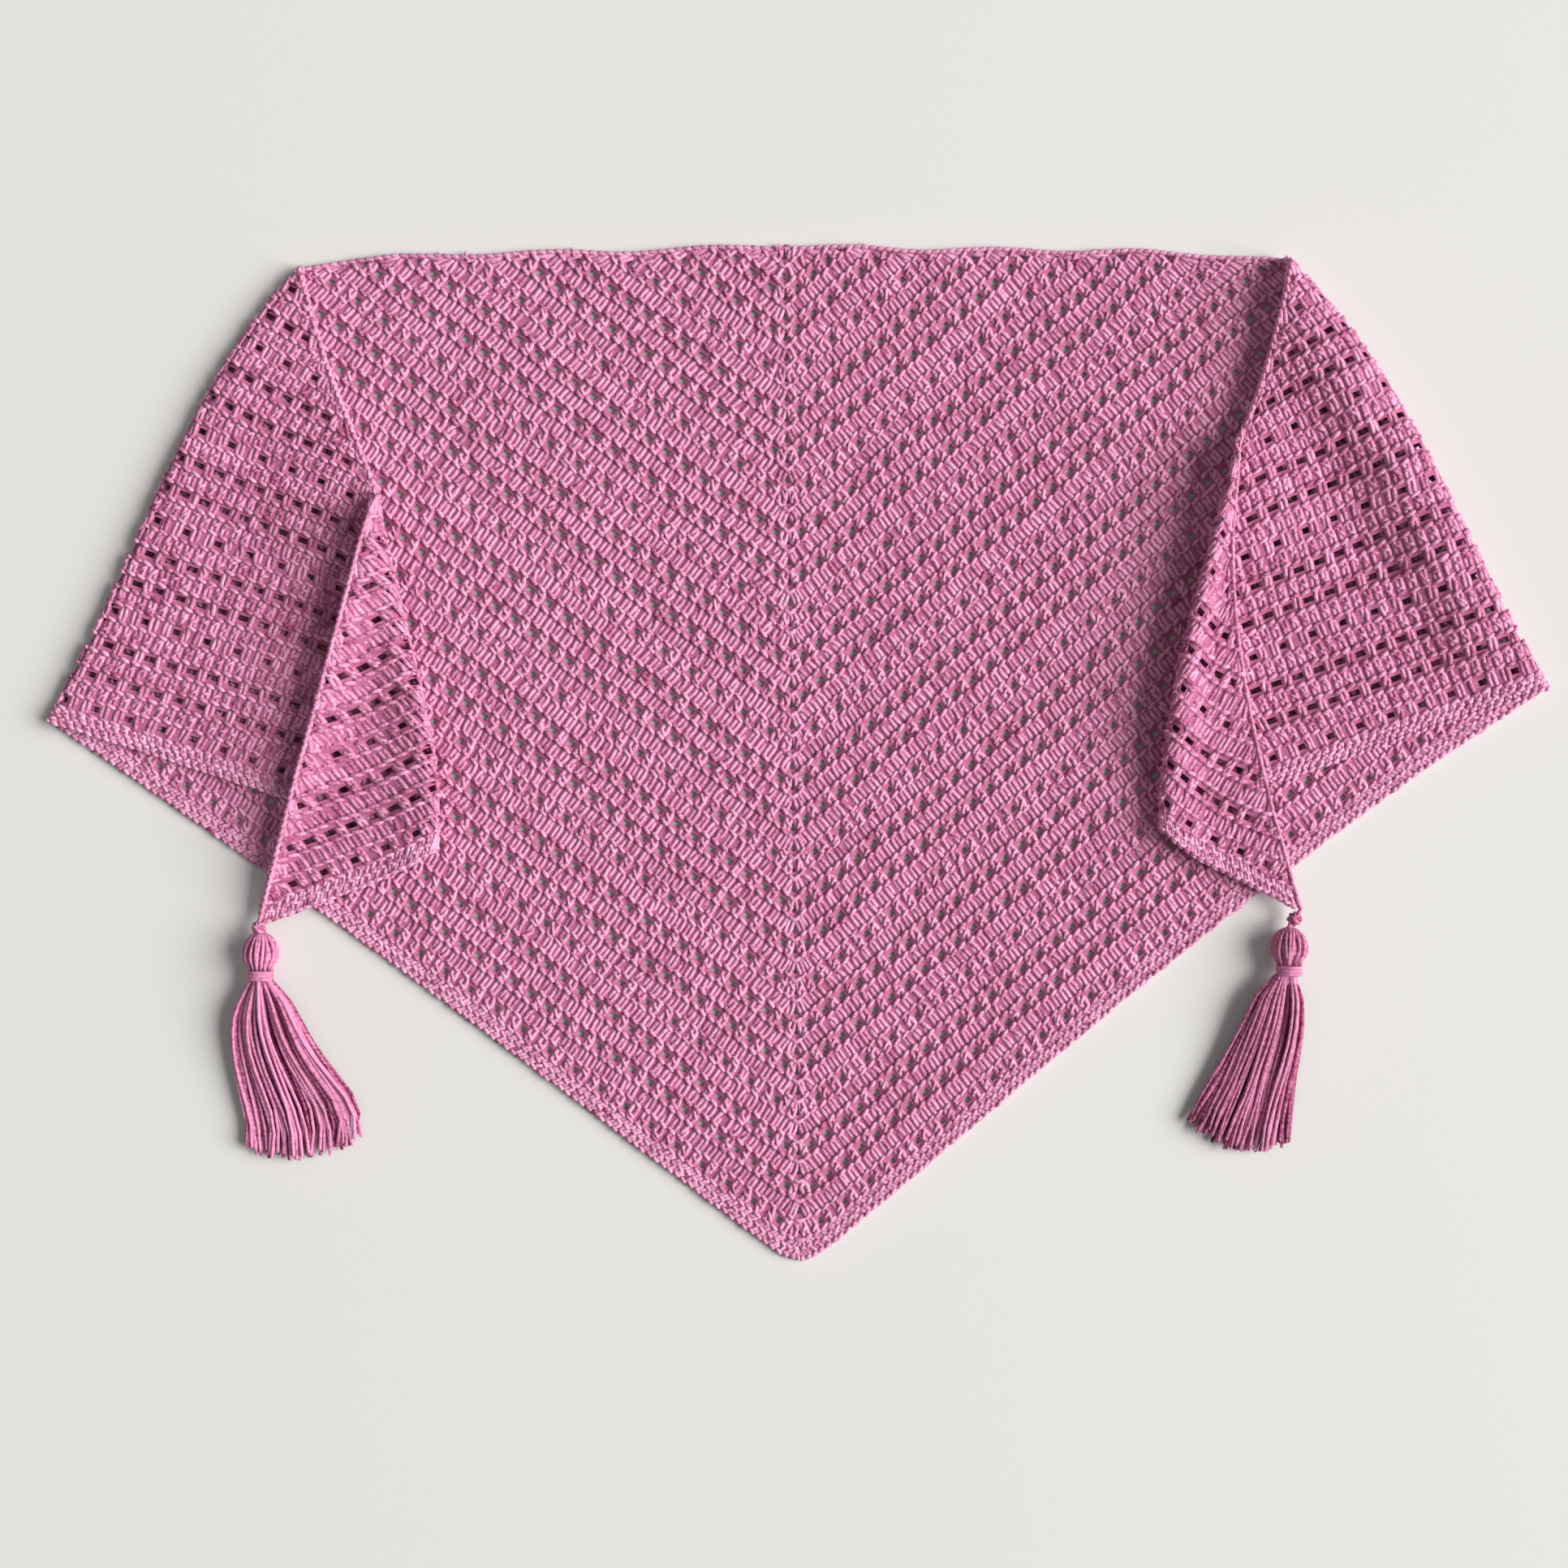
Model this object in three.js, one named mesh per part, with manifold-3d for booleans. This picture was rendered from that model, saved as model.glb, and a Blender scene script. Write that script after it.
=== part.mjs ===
// A crocheted triangular shawl laid flat on a surface, with both ends folded in twice and a
// tassel on each end. Millimetres, +Z up, the long top edge towards +Y.
//
// The cloth is one sheet, worked from the top centre in V-shaped rows that turn at the spine.
// Its flat shape is described first, then how it lies: each half is three stretches (back panel,
// wing, tip) that meet at two rounded folds. Every wall, edging and eyelet is made in the flat
// cloth and then laid by the same function.

import * as THREE from 'three';
import { mergeVertices } from 'three/addons/utils/BufferGeometryUtils.js';
import Module from 'manifold-3d';

const wasm = await Module();
wasm.setup();

// Flat cut of one half: a triangle of spine, top edge and lower edge.
const SPINE = 700;
const TOP_EDGE = 840;
const LOWER_EDGE = 1055;

// Fabric.
const ROWS = 50; // 49 body rows and the edging, which takes the place of one
const EDGING_START = (ROWS - 1) / ROWS;
const STITCH = 7.3;
const CLOTH = 3;
const SEAM_GAP = 0.3;
const FOLD_GAP = 0.6;
const LAYER_GAP = 0.8;
const TIP_GAP = 0.7; // more room under the tips, which lie on the swells of the wings

// Eyelets: two open rows in every six, with a hole at each second stitch.
const REPEAT_ROWS = 6;
const EYELET_ROWS = [2, 4];
const EYELET_PITCH = 2 * STITCH;
const EYELET = { along: 7.6, across: 5.2 };
const LAST_EYELET_ROW = 46;
const SPINE_HOLE = { along: 4.8, across: 6.4 };
const FIRST_SPINE_HOLE_ROW = 18;
const EDGE_CLEARANCE = 7; // no hole is closer than this to a fold or a free edge

// Heights of the middle of the cloth.
const BACK_LEVEL = CLOTH / 2;
const STACK = CLOTH + LAYER_GAP;
const WING_LEVEL = BACK_LEVEL + STACK;

// How each half lies. Points are measured from the top centre. A bow is how far an edge swells
// from the straight line at its peak, which is a share of its length. topAt and lowAt are where
// a fold crosses the top and the lower edge, as shares of the flat cut.
const TOP_CENTRE = [0, 0];
const BOTTOM_POINT = [11, -702];
const POINT_ROUND = { depth: 6, width: 24 };
const SIDES = {
  left: {
    outward: -1,
    shoulder: [-330, -15],
    corner: [-504, -326],
    turnTop: [-277, -172],
    turnLow: [-237, -414],
    end: [-361, -467],
    folds: [
      { topAt: 0.375, lowAt: 0.603, bow: [-11.4, 6.4], peak: 0.31, radius: [6, 7, 4], settle: 62 },
      { topAt: 0.59, lowAt: 0.869, bow: [8, 2], peak: 0.7, radius: [4, 6, 5], settle: 50 },
    ],
    topBows: [{ bow: [-1, 4], peak: 0.75 }, { bow: [-4, -1], peak: 0.4 }, { bow: [1, 0], peak: 0.5 }],
    lowBows: [{ bow: [2.6, 3.6], peak: 0.6 }, { bow: [0, 1], peak: 0.5 }, { bow: [2, -3], peak: 0.35 }],
    puffs: [
      { at: [-290, -130], height: 4, reach: 60 },
      { at: [-268, -205], height: 4, reach: 60 },
      { at: [-395, -255], height: 2.5, reach: 55 },
      { at: [-345, -375], height: 1.8, reach: 55 },
    ],
    tassel: { head: [-359.4, -485.5], lean: 28, leanPower: 1.4, spread: 31, spreadPower: 0.5, length: 118 },
  },
  right: {
    outward: 1,
    shoulder: [343, -12],
    corner: [523, -304],
    turnTop: [308, -135],
    turnLow: [257, -397],
    end: [354, -458],
    folds: [
      { topAt: 0.427, lowAt: 0.612, bow: [11.5, 7.1], peak: 0.33, radius: [9, 8.5, 4.5], settle: 66 },
      { topAt: 0.593, lowAt: 0.881, bow: [-9.8, -3.3], peak: 0.62, radius: [6, 8.5, 5.5], settle: 50 },
    ],
    topBows: [{ bow: [1, 4], peak: 0.75 }, { bow: [5, 0], peak: 0.6 }, { bow: [-18, 2], peak: 0.45 }],
    lowBows: [{ bow: [-7, 8.8], peak: 0.62 }, { bow: [0, 1], peak: 0.5 }, { bow: [-3, -5], peak: 0.28 }],
    puffs: [
      { at: [322, -95], height: 5, reach: 60 },
      { at: [305, -180], height: 5.5, reach: 60 },
      { at: [405, -270], height: 2.5, reach: 55 },
      { at: [345, -350], height: 2, reach: 55 },
    ],
    tassel: { head: [344.8, -482.1], lean: -38, leanPower: 1, spread: 27, spreadPower: 0.6, length: 120 },
  },
};
const SLIP_FADE = 60; // the length over which a fold's take-up is spread
const PUFF_FADE = 40; // a puff is flat at the first fold and full this far from it
const TIP_BLUNT = 0.006; // the last of the body is left off, and the edging closes round it
const TIP_END = 0.985; // the edging is blunt too where the tassel hangs

// Tassels.
const HEAD_RADIUS = 12.5;
const NECK_RADIUS = 6.5;
const NECK_FROM_HEAD = 16;
const TIE = { length: 9, wraps: 3, thick: 2.4 };
const CROWN_RADIUS = 12;
const STRAND_RADIUS = 1.5;
const STRAND_LAYERS = [11, 10, 11];
const STRAND_STEPS = 4;
const HANGER_RADIUS = 2.8;
const HANGER_START = 2.4; // from the middle of the blunt end

const COLOURS = { cloth: 0xc07499, edging: 0xc97fa3, yarn: 0xbe6f97 };

const mix = (a, b, t) => a + (b - a) * t;
const mixPoint = (a, b, t) => [mix(a[0], b[0], t), mix(a[1], b[1], t)];
const smooth = (t) => {
  const x = Math.min(1, Math.max(0, t));
  return x * x * (3 - 2 * x);
};
const throughThree = ([a, b, c], t) => a * (1 - t) * (1 - 2 * t) + 4 * b * t * (1 - t) + c * t * (2 * t - 1);
function bowShape(t, peak) {
  const rising = Math.max(1, peak / (1 - peak));
  const falling = Math.max(1, (1 - peak) / peak);
  const height = (x) => Math.max(0, x) ** rising * Math.max(0, 1 - x) ** falling;
  return height(t) / height(peak);
}

// The flat half is written as shares of two corners: a point is low * bottom + high * end, so
// low + high is its row as a share of all rows, and high alone grows towards the end.
const spineLean = (SPINE ** 2 + LOWER_EDGE ** 2 - TOP_EDGE ** 2) / (2 * SPINE * LOWER_EDGE);
const flatShares = (row, along) => {
  const share = row / ROWS;
  const high = along / LOWER_EDGE;
  return { low: share - high, high };
};

// The three stretches of one half, from the spine to the end.
function stretchesOf(side) {
  const { shoulder, corner, turnTop, turnLow, end, folds, topBows, lowBows } = side;
  const tops = [TOP_CENTRE, shoulder, turnTop, end];
  const lows = [BOTTOM_POINT, corner, turnLow, end];
  const topAt = [0, folds[0].topAt, folds[1].topAt, 1];
  const lowAt = [0, folds[0].lowAt, folds[1].lowAt, 1];
  return [0, 1, 2].map((n) => ({
    layer: n,
    side,
    top: [tops[n], tops[n + 1]],
    low: [lows[n], lows[n + 1]],
    topAt: [topAt[n], topAt[n + 1]],
    lowAt: [lowAt[n], lowAt[n + 1]],
    before: n > 0 ? folds[n - 1] : null,
    after: n < 2 ? folds[n] : null,
    topBow: topBows[n],
    lowBow: lowBows[n],
  }));
}

// Where a stretch lies in plan. s runs from the spine side to the end side, v from the top edge
// to the lower edge.
function planPoint(stretch, s, v) {
  const top = mixPoint(...stretch.top, s);
  const low = mixPoint(...stretch.low, s);
  const point = mixPoint(top, low, v);
  const swell = (edge, t, weight) => {
    if (!edge) return;
    point[0] += edge.bow[0] * bowShape(t, edge.peak) * weight;
    point[1] += edge.bow[1] * bowShape(t, edge.peak) * weight;
  };
  swell(stretch.topBow, s, 1 - v);
  swell(stretch.lowBow, s, v);
  swell(stretch.before, v, 1 - s);
  swell(stretch.after, v, s);
  if (stretch.layer === 0) {
    const fromPoint = (s * stretch.lowAt[1] * LOWER_EDGE) / POINT_ROUND.width;
    point[1] += POINT_ROUND.depth * Math.max(0, 1 - fromPoint) ** 2 * v ** 8;
  }
  return point;
}

// A fold's place at v, the direction from there to the stretch's other side, and its radius.
function foldAt(stretch, which, v) {
  const s = which === 'after' ? 1 : 0;
  const here = planPoint(stretch, s, v);
  const far = planPoint(stretch, 1 - s, v);
  const width = Math.hypot(far[0] - here[0], far[1] - here[1]);
  const inward = [(far[0] - here[0]) / width, (far[1] - here[1]) / width];
  return { here, inward, width, radius: throughThree(stretch[which].radius, v) };
}

// Bends the plan round one fold: slip moves a point towards the fold, and rise is its height
// above the lower layer, or below the upper one.
function turnAt(stretch, which, v, point) {
  const fold = foldAt(stretch, which, v);
  const distance = Math.hypot(point[0] - fold.here[0], point[1] - fold.here[1]);
  const quarter = (fold.radius * Math.PI) / 2;
  if (distance < quarter) {
    const angle = distance / fold.radius;
    const slip = distance - fold.radius * (1 - Math.cos(angle));
    return { ...fold, slip, rise: fold.radius * (1 - Math.sin(angle)), settled: 0, distance };
  }
  const past = distance - quarter;
  return {
    ...fold,
    slip: (quarter - fold.radius) * (1 - smooth(past / SLIP_FADE)),
    rise: 0,
    settled: smooth(past / stretch[which].settle),
    distance,
  };
}

function puffHeight(side, point) {
  return side.puffs.reduce((sum, puff) => {
    const away = Math.hypot(point[0] - puff.at[0], point[1] - puff.at[1]) / puff.reach;
    return sum + puff.height * Math.exp(-away * away);
  }, 0);
}

// The middle of the cloth in space.
function lay(stretch, s, v) {
  const plan = planPoint(stretch, s, v);
  const turns = ['before', 'after'].map((which) => (stretch[which] ? turnAt(stretch, which, v, plan) : null));
  const point = [...plan];
  for (const turn of turns) {
    if (!turn) continue;
    point[0] -= turn.inward[0] * turn.slip;
    point[1] -= turn.inward[1] * turn.slip;
  }
  const [before, after] = turns;
  let height = BACK_LEVEL;
  if (stretch.layer === 1) {
    const overFold = BACK_LEVEL + 2 * before.radius - WING_LEVEL;
    height = WING_LEVEL + overFold * (1 - before.settled) - before.rise;
    height += puffHeight(stretch.side, point) * smooth(before.distance / PUFF_FADE);
  }
  if (stretch.layer === 2) {
    height = WING_LEVEL + puffHeight(stretch.side, point) + STACK + TIP_GAP;
    height += (2 * before.radius - STACK - TIP_GAP) * (1 - before.settled) - before.rise;
  }
  if (after) height += after.rise;
  return new THREE.Vector3(point[0], point[1], height);
}

// The place in a stretch of a point of the flat cloth, or null where the point is in another.
function placeIn(stretch, { low, high }) {
  const [t0, t1] = stretch.topAt;
  const [l0, l1] = stretch.lowAt;
  const dt = t1 - t0;
  const dl = l1 - l0;
  const a = -dl * dt;
  const b = (1 - l0 - low) * dt - dl * t0 + low * dl + high * dl;
  const c = (1 - l0 - low) * t0 + low * l0 - high * (1 - l0);
  const root = Math.sqrt(Math.max(0, b * b - 4 * a * c));
  const s = (-2 * c) / (b + root);
  const v = low / (1 - l0 - dl * s);
  return s >= 0 && s <= 1 ? { s, v } : null;
}

// A place on the cloth with the direction that faces out of it there.
function laidPoint(stretch, s, v) {
  const step = 0.002;
  const line = (a, b) => b.sub(a);
  const acrossRows = line(lay(stretch, Math.max(0, s - step), v), lay(stretch, Math.min(1, s + step), v));
  const alongRow = line(lay(stretch, s, Math.max(0, v - step)), lay(stretch, s, Math.min(1, v + step)));
  return { point: lay(stretch, s, v), normal: acrossRows.cross(alongRow).normalize() };
}

// The same grid with its stations in the other order.
function turnedRound(grid) {
  const flip = ({ point, normal }) => ({ point, normal: normal.clone().negate() });
  return [...grid].reverse().map((line) => line.map(flip));
}

// A closed wall of the cloth's thickness about a grid of points on its middle.
function wall(grid) {
  const rows = grid.length;
  const columns = grid[0].length;
  const positions = [];
  const faces = [];
  for (const face of [1, -1]) {
    for (let i = 0; i < rows; i++) {
      for (let j = 0; j < columns; j++) {
        const { point, normal } = grid[i][j];
        positions.push(...point.clone().addScaledVector(normal, (face * CLOTH) / 2).toArray());
      }
    }
  }
  const index = (face, i, j) => face * rows * columns + i * columns + j;
  const quad = (a, b, c, d) => faces.push(a, b, c, a, c, d);
  for (let i = 0; i < rows - 1; i++) {
    for (let j = 0; j < columns - 1; j++) {
      quad(index(0, i, j), index(0, i + 1, j), index(0, i + 1, j + 1), index(0, i, j + 1));
      quad(index(1, i, j), index(1, i, j + 1), index(1, i + 1, j + 1), index(1, i + 1, j));
    }
  }
  for (let i = 0; i < rows - 1; i++) {
    quad(index(0, i, 0), index(1, i, 0), index(1, i + 1, 0), index(0, i + 1, 0));
    quad(index(0, i + 1, columns - 1), index(1, i + 1, columns - 1), index(1, i, columns - 1), index(0, i, columns - 1));
  }
  for (let j = 0; j < columns - 1; j++) {
    quad(index(0, 0, j + 1), index(1, 0, j + 1), index(1, 0, j), index(0, 0, j));
    quad(index(0, rows - 1, j), index(1, rows - 1, j), index(1, rows - 1, j + 1), index(0, rows - 1, j + 1));
  }
  const geometry = new THREE.BufferGeometry();
  geometry.setAttribute('position', new THREE.Float32BufferAttribute(positions, 3));
  geometry.setIndex(faces);
  return geometry;
}

function toManifold(geometry) {
  const bare = geometry.clone();
  bare.deleteAttribute('normal');
  bare.deleteAttribute('uv');
  const merged = mergeVertices(bare, 1e-4);
  return new wasm.Manifold(
    new wasm.Mesh({
      numProp: 3,
      vertProperties: new Float32Array(merged.attributes.position.array),
      triVerts: new Uint32Array(merged.index.array),
    }),
  );
}

function fromManifold(solid) {
  const mesh = solid.getMesh();
  const geometry = new THREE.BufferGeometry();
  geometry.setAttribute('position', new THREE.BufferAttribute(new Float32Array(mesh.vertProperties), 3));
  geometry.setIndex(new THREE.BufferAttribute(new Uint32Array(mesh.triVerts), 1));
  return geometry;
}

// Stations across a stretch at one v, closer together round the folds.
const QUARTER_STEPS = [0, 0.25, 0.5, 0.75, 1];
const BACK_STEPS = 7;
const SETTLE_STEPS = 4;
const MIDDLE_STEPS = 2;
function stationsOf(stretch, v) {
  const measure = (which) => {
    const { width, radius } = foldAt(stretch, which, v);
    return { width, quarter: (radius * Math.PI) / 2 };
  };
  const first = stretch.before ? measure('before') : null;
  const last = stretch.after ? measure('after') : null;
  const stations = [];
  if (first) {
    const gap = FOLD_GAP / 2;
    for (const step of QUARTER_STEPS) stations.push(Math.max(gap, step * first.quarter) / first.width);
  }
  const bodyEnd = (EDGING_START - TIP_BLUNT - stretch.topAt[0]) / (stretch.topAt[1] - stretch.topAt[0]);
  const lastStart = last ? 1 - last.quarter / last.width : bodyEnd;
  if (stretch.layer === 0) for (let n = 0; n < BACK_STEPS; n++) stations.push((lastStart * n) / BACK_STEPS);
  if (stretch.layer === 1) {
    const settled = (first.quarter + stretch.before.settle) / first.width;
    const start = stations[stations.length - 1];
    for (let n = 1; n <= SETTLE_STEPS; n++) stations.push(mix(start, settled, n / SETTLE_STEPS));
    for (let n = 1; n < MIDDLE_STEPS; n++) stations.push(mix(settled, lastStart, n / MIDDLE_STEPS));
  }
  if (stretch.layer === 2) {
    const start = stations[stations.length - 1];
    const count = SETTLE_STEPS + MIDDLE_STEPS;
    for (let n = 1; n <= count; n++) stations.push(mix(start, lastStart, n / count));
  }
  if (last) {
    for (const step of [...QUARTER_STEPS].reverse()) {
      stations.push(1 - Math.max(FOLD_GAP / 2, step * last.quarter) / last.width);
    }
  }
  return stations;
}

// v of a given row share on the station line at s.
function levelOf(stretch, s, share) {
  const top = mix(...stretch.topAt, s);
  return (share - top) / (1 - top);
}

const gapShare = (SEAM_GAP + 0.3) / (SPINE * Math.sqrt(1 - spineLean ** 2));

// Points of the body of a stretch, one list for each station.
function bodyGrid(stretch, levels) {
  const grid = [];
  const count = stationsOf(stretch, 0.5).length;
  for (let i = 0; i < count; i++) {
    const line = [];
    for (let j = 0; j <= levels; j++) {
      const share = j / levels;
      const s = stationsOf(stretch, share)[i];
      line.push(laidPoint(stretch, s, share * levelOf(stretch, s, EDGING_START)));
    }
    grid.push(line);
  }
  return grid;
}

// Points of the edging of a stretch.
const EDGING_LEVELS = 2;
function edgingGrid(stretch) {
  const grid = [];
  const stations = stationsOf(stretch, 1);
  if (stretch.layer === 2) stations.push(TIP_END);
  for (const s of stations) {
    const start = Math.max(0, levelOf(stretch, s, EDGING_START + gapShare));
    const line = [];
    for (let j = 0; j <= EDGING_LEVELS; j++) line.push(laidPoint(stretch, s, mix(start, 1, j / EDGING_LEVELS)));
    grid.push(line);
  }
  return grid;
}

// A hole's four corners as places in a stretch, or null where it would leave the stretch.
function holePlaces(stretch, row, along, size) {
  const places = [];
  const corners = [[-0.5, -0.5], [0.5, -0.5], [0.5, 0.5], [-0.5, 0.5]];
  for (const [x, y] of corners) {
    const acrossRows = (y * size.across) / ((SPINE * Math.sqrt(1 - spineLean ** 2)) / ROWS);
    const place = placeIn(stretch, flatShares(row + acrossRows, along + x * size.along));
    if (!place || place.v < 0) return null;
    places.push(place);
  }
  return places;
}

function prism(corners) {
  const centre = corners.reduce((sum, c) => sum.add(c), new THREE.Vector3()).multiplyScalar(1 / corners.length);
  const normal = corners[2].clone().sub(corners[0]).cross(corners[3].clone().sub(corners[1])).normalize();
  if (normal.z < 0) corners = [...corners].reverse();
  const up = normal.z < 0 ? normal.negate() : normal;
  const reach = CLOTH / 2 + 1;
  const positions = [];
  for (const face of [-1, 1]) {
    for (const corner of corners) {
      const level = corner.clone().sub(centre);
      const flat = level.addScaledVector(up, -level.dot(up)).add(centre);
      positions.push(...flat.addScaledVector(up, face * reach).toArray());
    }
  }
  const n = corners.length;
  const faces = [];
  for (let i = 1; i < n - 1; i++) faces.push(0, i + 1, i, n, n + i, n + i + 1);
  for (let i = 0; i < n; i++) {
    const next = (i + 1) % n;
    faces.push(i, next, n + next, i, n + next, n + i);
  }
  const geometry = new THREE.BufferGeometry();
  geometry.setAttribute('position', new THREE.Float32BufferAttribute(positions, 3));
  geometry.setIndex(faces);
  return geometry;
}

// Distance of a place from the folds and free edges of its stretch, in millimetres.
function clearanceOf(stretch, { s, v }) {
  const plan = planPoint(stretch, s, v);
  const distances = [];
  for (const which of ['before', 'after']) {
    if (!stretch[which]) continue;
    const fold = foldAt(stretch, which, v);
    const away = Math.hypot(plan[0] - fold.here[0], plan[1] - fold.here[1]);
    distances.push(away - (fold.radius * Math.PI) / 2);
  }
  const top = planPoint(stretch, s, 0);
  distances.push(Math.hypot(plan[0] - top[0], plan[1] - top[1]));
  return Math.min(...distances);
}

// The prisms that cut the eyelets of a stretch.
function eyeletPrisms(stretch) {
  const prisms = [];
  for (let row = 0; row < ROWS - 1; row++) {
    if (!EYELET_ROWS.includes(row % REPEAT_ROWS)) continue;
    if (stretch.layer === 0 && row < LAST_EYELET_ROW) continue;
    const middle = row + 0.5;
    const count = Math.floor(((middle / ROWS) * LOWER_EDGE) / EYELET_PITCH);
    for (let n = 1; n < count; n++) {
      const places = holePlaces(stretch, middle, n * EYELET_PITCH, EYELET);
      if (!places || places.some((place) => clearanceOf(stretch, place) < EDGE_CLEARANCE)) continue;
      prisms.push(prism(places.map(({ s, v }) => lay(stretch, s, v))));
    }
  }
  return prisms;
}

// Spine holes lie across both halves of the back panel, one in each row.
function spinePrisms() {
  const prisms = [];
  for (let row = FIRST_SPINE_HOLE_ROW; row < ROWS - 1; row++) {
    const share = (row + 0.5) / ROWS;
    const centre = mixPoint(TOP_CENTRE, BOTTOM_POINT, share);
    const corners = [[-0.5, 0], [0, -0.5], [0.5, 0], [0, 0.5]].map(
      ([x, y]) => new THREE.Vector3(centre[0] + x * SPINE_HOLE.along, centre[1] + y * SPINE_HOLE.across, BACK_LEVEL),
    );
    prisms.push(prism(corners));
  }
  return prisms;
}

function pierce(geometry, prisms) {
  if (!prisms.length) return geometry;
  return fromManifold(toManifold(geometry).subtract(wasm.Manifold.union(prisms.map(toManifold))));
}

// Tassel parts. The head is a turned form on a level axis that points down the page.
function turned(profile, segments) {
  const lathe = new THREE.LatheGeometry(profile.map(([r, y]) => new THREE.Vector2(r, y)), segments);
  return lathe;
}

function headProfile() {
  const points = [[0, HEAD_RADIUS]];
  const steps = 7;
  const neckAngle = Math.acos(NECK_RADIUS / HEAD_RADIUS);
  for (let n = 1; n <= steps; n++) {
    const angle = mix(Math.PI / 2, -neckAngle, n / steps);
    points.push([HEAD_RADIUS * Math.cos(angle), HEAD_RADIUS * Math.sin(angle)]);
  }
  const neckEnd = -NECK_FROM_HEAD - TIE.length / 2;
  points.push([NECK_RADIUS, neckEnd]);
  points.push([CROWN_RADIUS * 0.72, neckEnd - 2]);
  points.push([CROWN_RADIUS * 0.95, neckEnd - 6]);
  points.push([CROWN_RADIUS, neckEnd - 11]);
  points.push([CROWN_RADIUS * 0.7, neckEnd - 15]);
  points.push([0, neckEnd - 16]);
  return points.reverse();
}

const SKIRT_ROOT = NECK_FROM_HEAD + TIE.length / 2 + 4;

// The centre of one strand at t, from the neck to the free end. u is its place across and w its
// layer, both from -1 to 1.
function strandPoint(tassel, u, w, t, length) {
  const half = 6 + tassel.spread * t ** tassel.spreadPower;
  const crown = Math.sin(Math.PI * Math.min(1, t / 0.45)) * 2;
  const middle = mix(HEAD_RADIUS - 1, 5.7, smooth(t));
  const layer = mix(5.2, 3.75, smooth(t)) + crown * 0.5;
  const lean = tassel.lean * t ** tassel.leanPower;
  return new THREE.Vector3(
    tassel.head[0] + lean + u * half,
    tassel.head[1] - SKIRT_ROOT - t * length,
    middle + w * layer,
  );
}

function strandGeometry(tassel, u, w, length) {
  const centres = [];
  for (let n = 0; n <= STRAND_STEPS; n++) centres.push(strandPoint(tassel, u, w, n / STRAND_STEPS, length));
  const positions = [];
  const sides = 3;
  centres.forEach((centre, n) => {
    const ahead = centres[Math.min(STRAND_STEPS, n + 1)].clone().sub(centres[Math.max(0, n - 1)]).normalize();
    const across = new THREE.Vector3(0, 0, 1).cross(ahead).normalize();
    const up = ahead.clone().cross(across);
    for (let k = 0; k < sides; k++) {
      const angle = Math.PI / 2 + (k * 2 * Math.PI) / sides;
      const corner = centre.clone().addScaledVector(across, Math.cos(angle) * STRAND_RADIUS);
      positions.push(...corner.addScaledVector(up, Math.sin(angle) * STRAND_RADIUS).toArray());
    }
  });
  const faces = [0, 2, 1];
  for (let n = 0; n < STRAND_STEPS; n++) {
    for (let k = 0; k < sides; k++) {
      const a = n * sides + k;
      const b = n * sides + ((k + 1) % sides);
      faces.push(a, b, b + sides, a, b + sides, a + sides);
    }
  }
  const last = STRAND_STEPS * sides;
  faces.push(last, last + 1, last + 2);
  const geometry = new THREE.BufferGeometry();
  geometry.setAttribute('position', new THREE.Float32BufferAttribute(positions, 3));
  geometry.setIndex(faces);
  return geometry;
}

function tasselGeometry(tassel) {
  const head = turned(headProfile(), 14);
  head.translate(tassel.head[0], tassel.head[1], HEAD_RADIUS);
  const solids = [toManifold(head)];
  STRAND_LAYERS.forEach((count, layer) => {
    for (let n = 0; n < count; n++) {
      const u = (2 * n) / (Math.max(...STRAND_LAYERS) - 1) - 1 + (count < Math.max(...STRAND_LAYERS) ? 0.1 : 0);
      const trim = 5 * Math.abs(u) ** 2 + 3 * Math.abs(Math.sin(7 * n + 3 * layer));
      solids.push(toManifold(strandGeometry(tassel, u, layer - 1, tassel.length - trim)));
    }
  });
  return fromManifold(wasm.Manifold.union(solids));
}

// Yarn wound round the neck, as a ribbed sleeve.
function tieGeometry(tassel) {
  const inner = NECK_RADIUS + SEAM_GAP;
  const length = TIE.length - 2 * SEAM_GAP;
  const bottom = -NECK_FROM_HEAD - length / 2;
  const profile = [[inner, bottom]];
  const steps = TIE.wraps * 3;
  for (let n = 0; n <= steps; n++) {
    const bulge = Math.abs(Math.sin((Math.PI * n * TIE.wraps) / steps));
    profile.push([inner + 1 + (TIE.thick - 1) * bulge, bottom + (length * n) / steps]);
  }
  profile.push([inner, bottom + length], [inner, bottom]);
  const sleeve = turned(profile, 12);
  sleeve.translate(tassel.head[0], tassel.head[1], HEAD_RADIUS);
  return sleeve;
}

// The yarn that hangs the head from the cloth's end.
function hangerGeometry(side) {
  const end = lay(stretchesOf(side)[2], TIP_END, 0.5);
  const head = new THREE.Vector3(...side.tassel.head, HEAD_RADIUS);
  const axis = head.clone().sub(end);
  const from = end.clone().addScaledVector(axis.clone().normalize(), HANGER_START);
  const to = head.clone().addScaledVector(axis.clone().normalize(), -(HEAD_RADIUS + SEAM_GAP));
  const length = from.distanceTo(to);
  const profile = [[0, 0], [HANGER_RADIUS * 0.6, 0.1], [HANGER_RADIUS, length * 0.35]];
  profile.push([HANGER_RADIUS * 0.9, length * 0.7], [HANGER_RADIUS * 0.5, length - 0.1], [0, length]);
  const barrel = turned(profile, 10);
  barrel.applyQuaternion(new THREE.Quaternion().setFromUnitVectors(new THREE.Vector3(0, 1, 0), axis.normalize()));
  barrel.translate(...from.toArray());
  return barrel;
}

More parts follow.
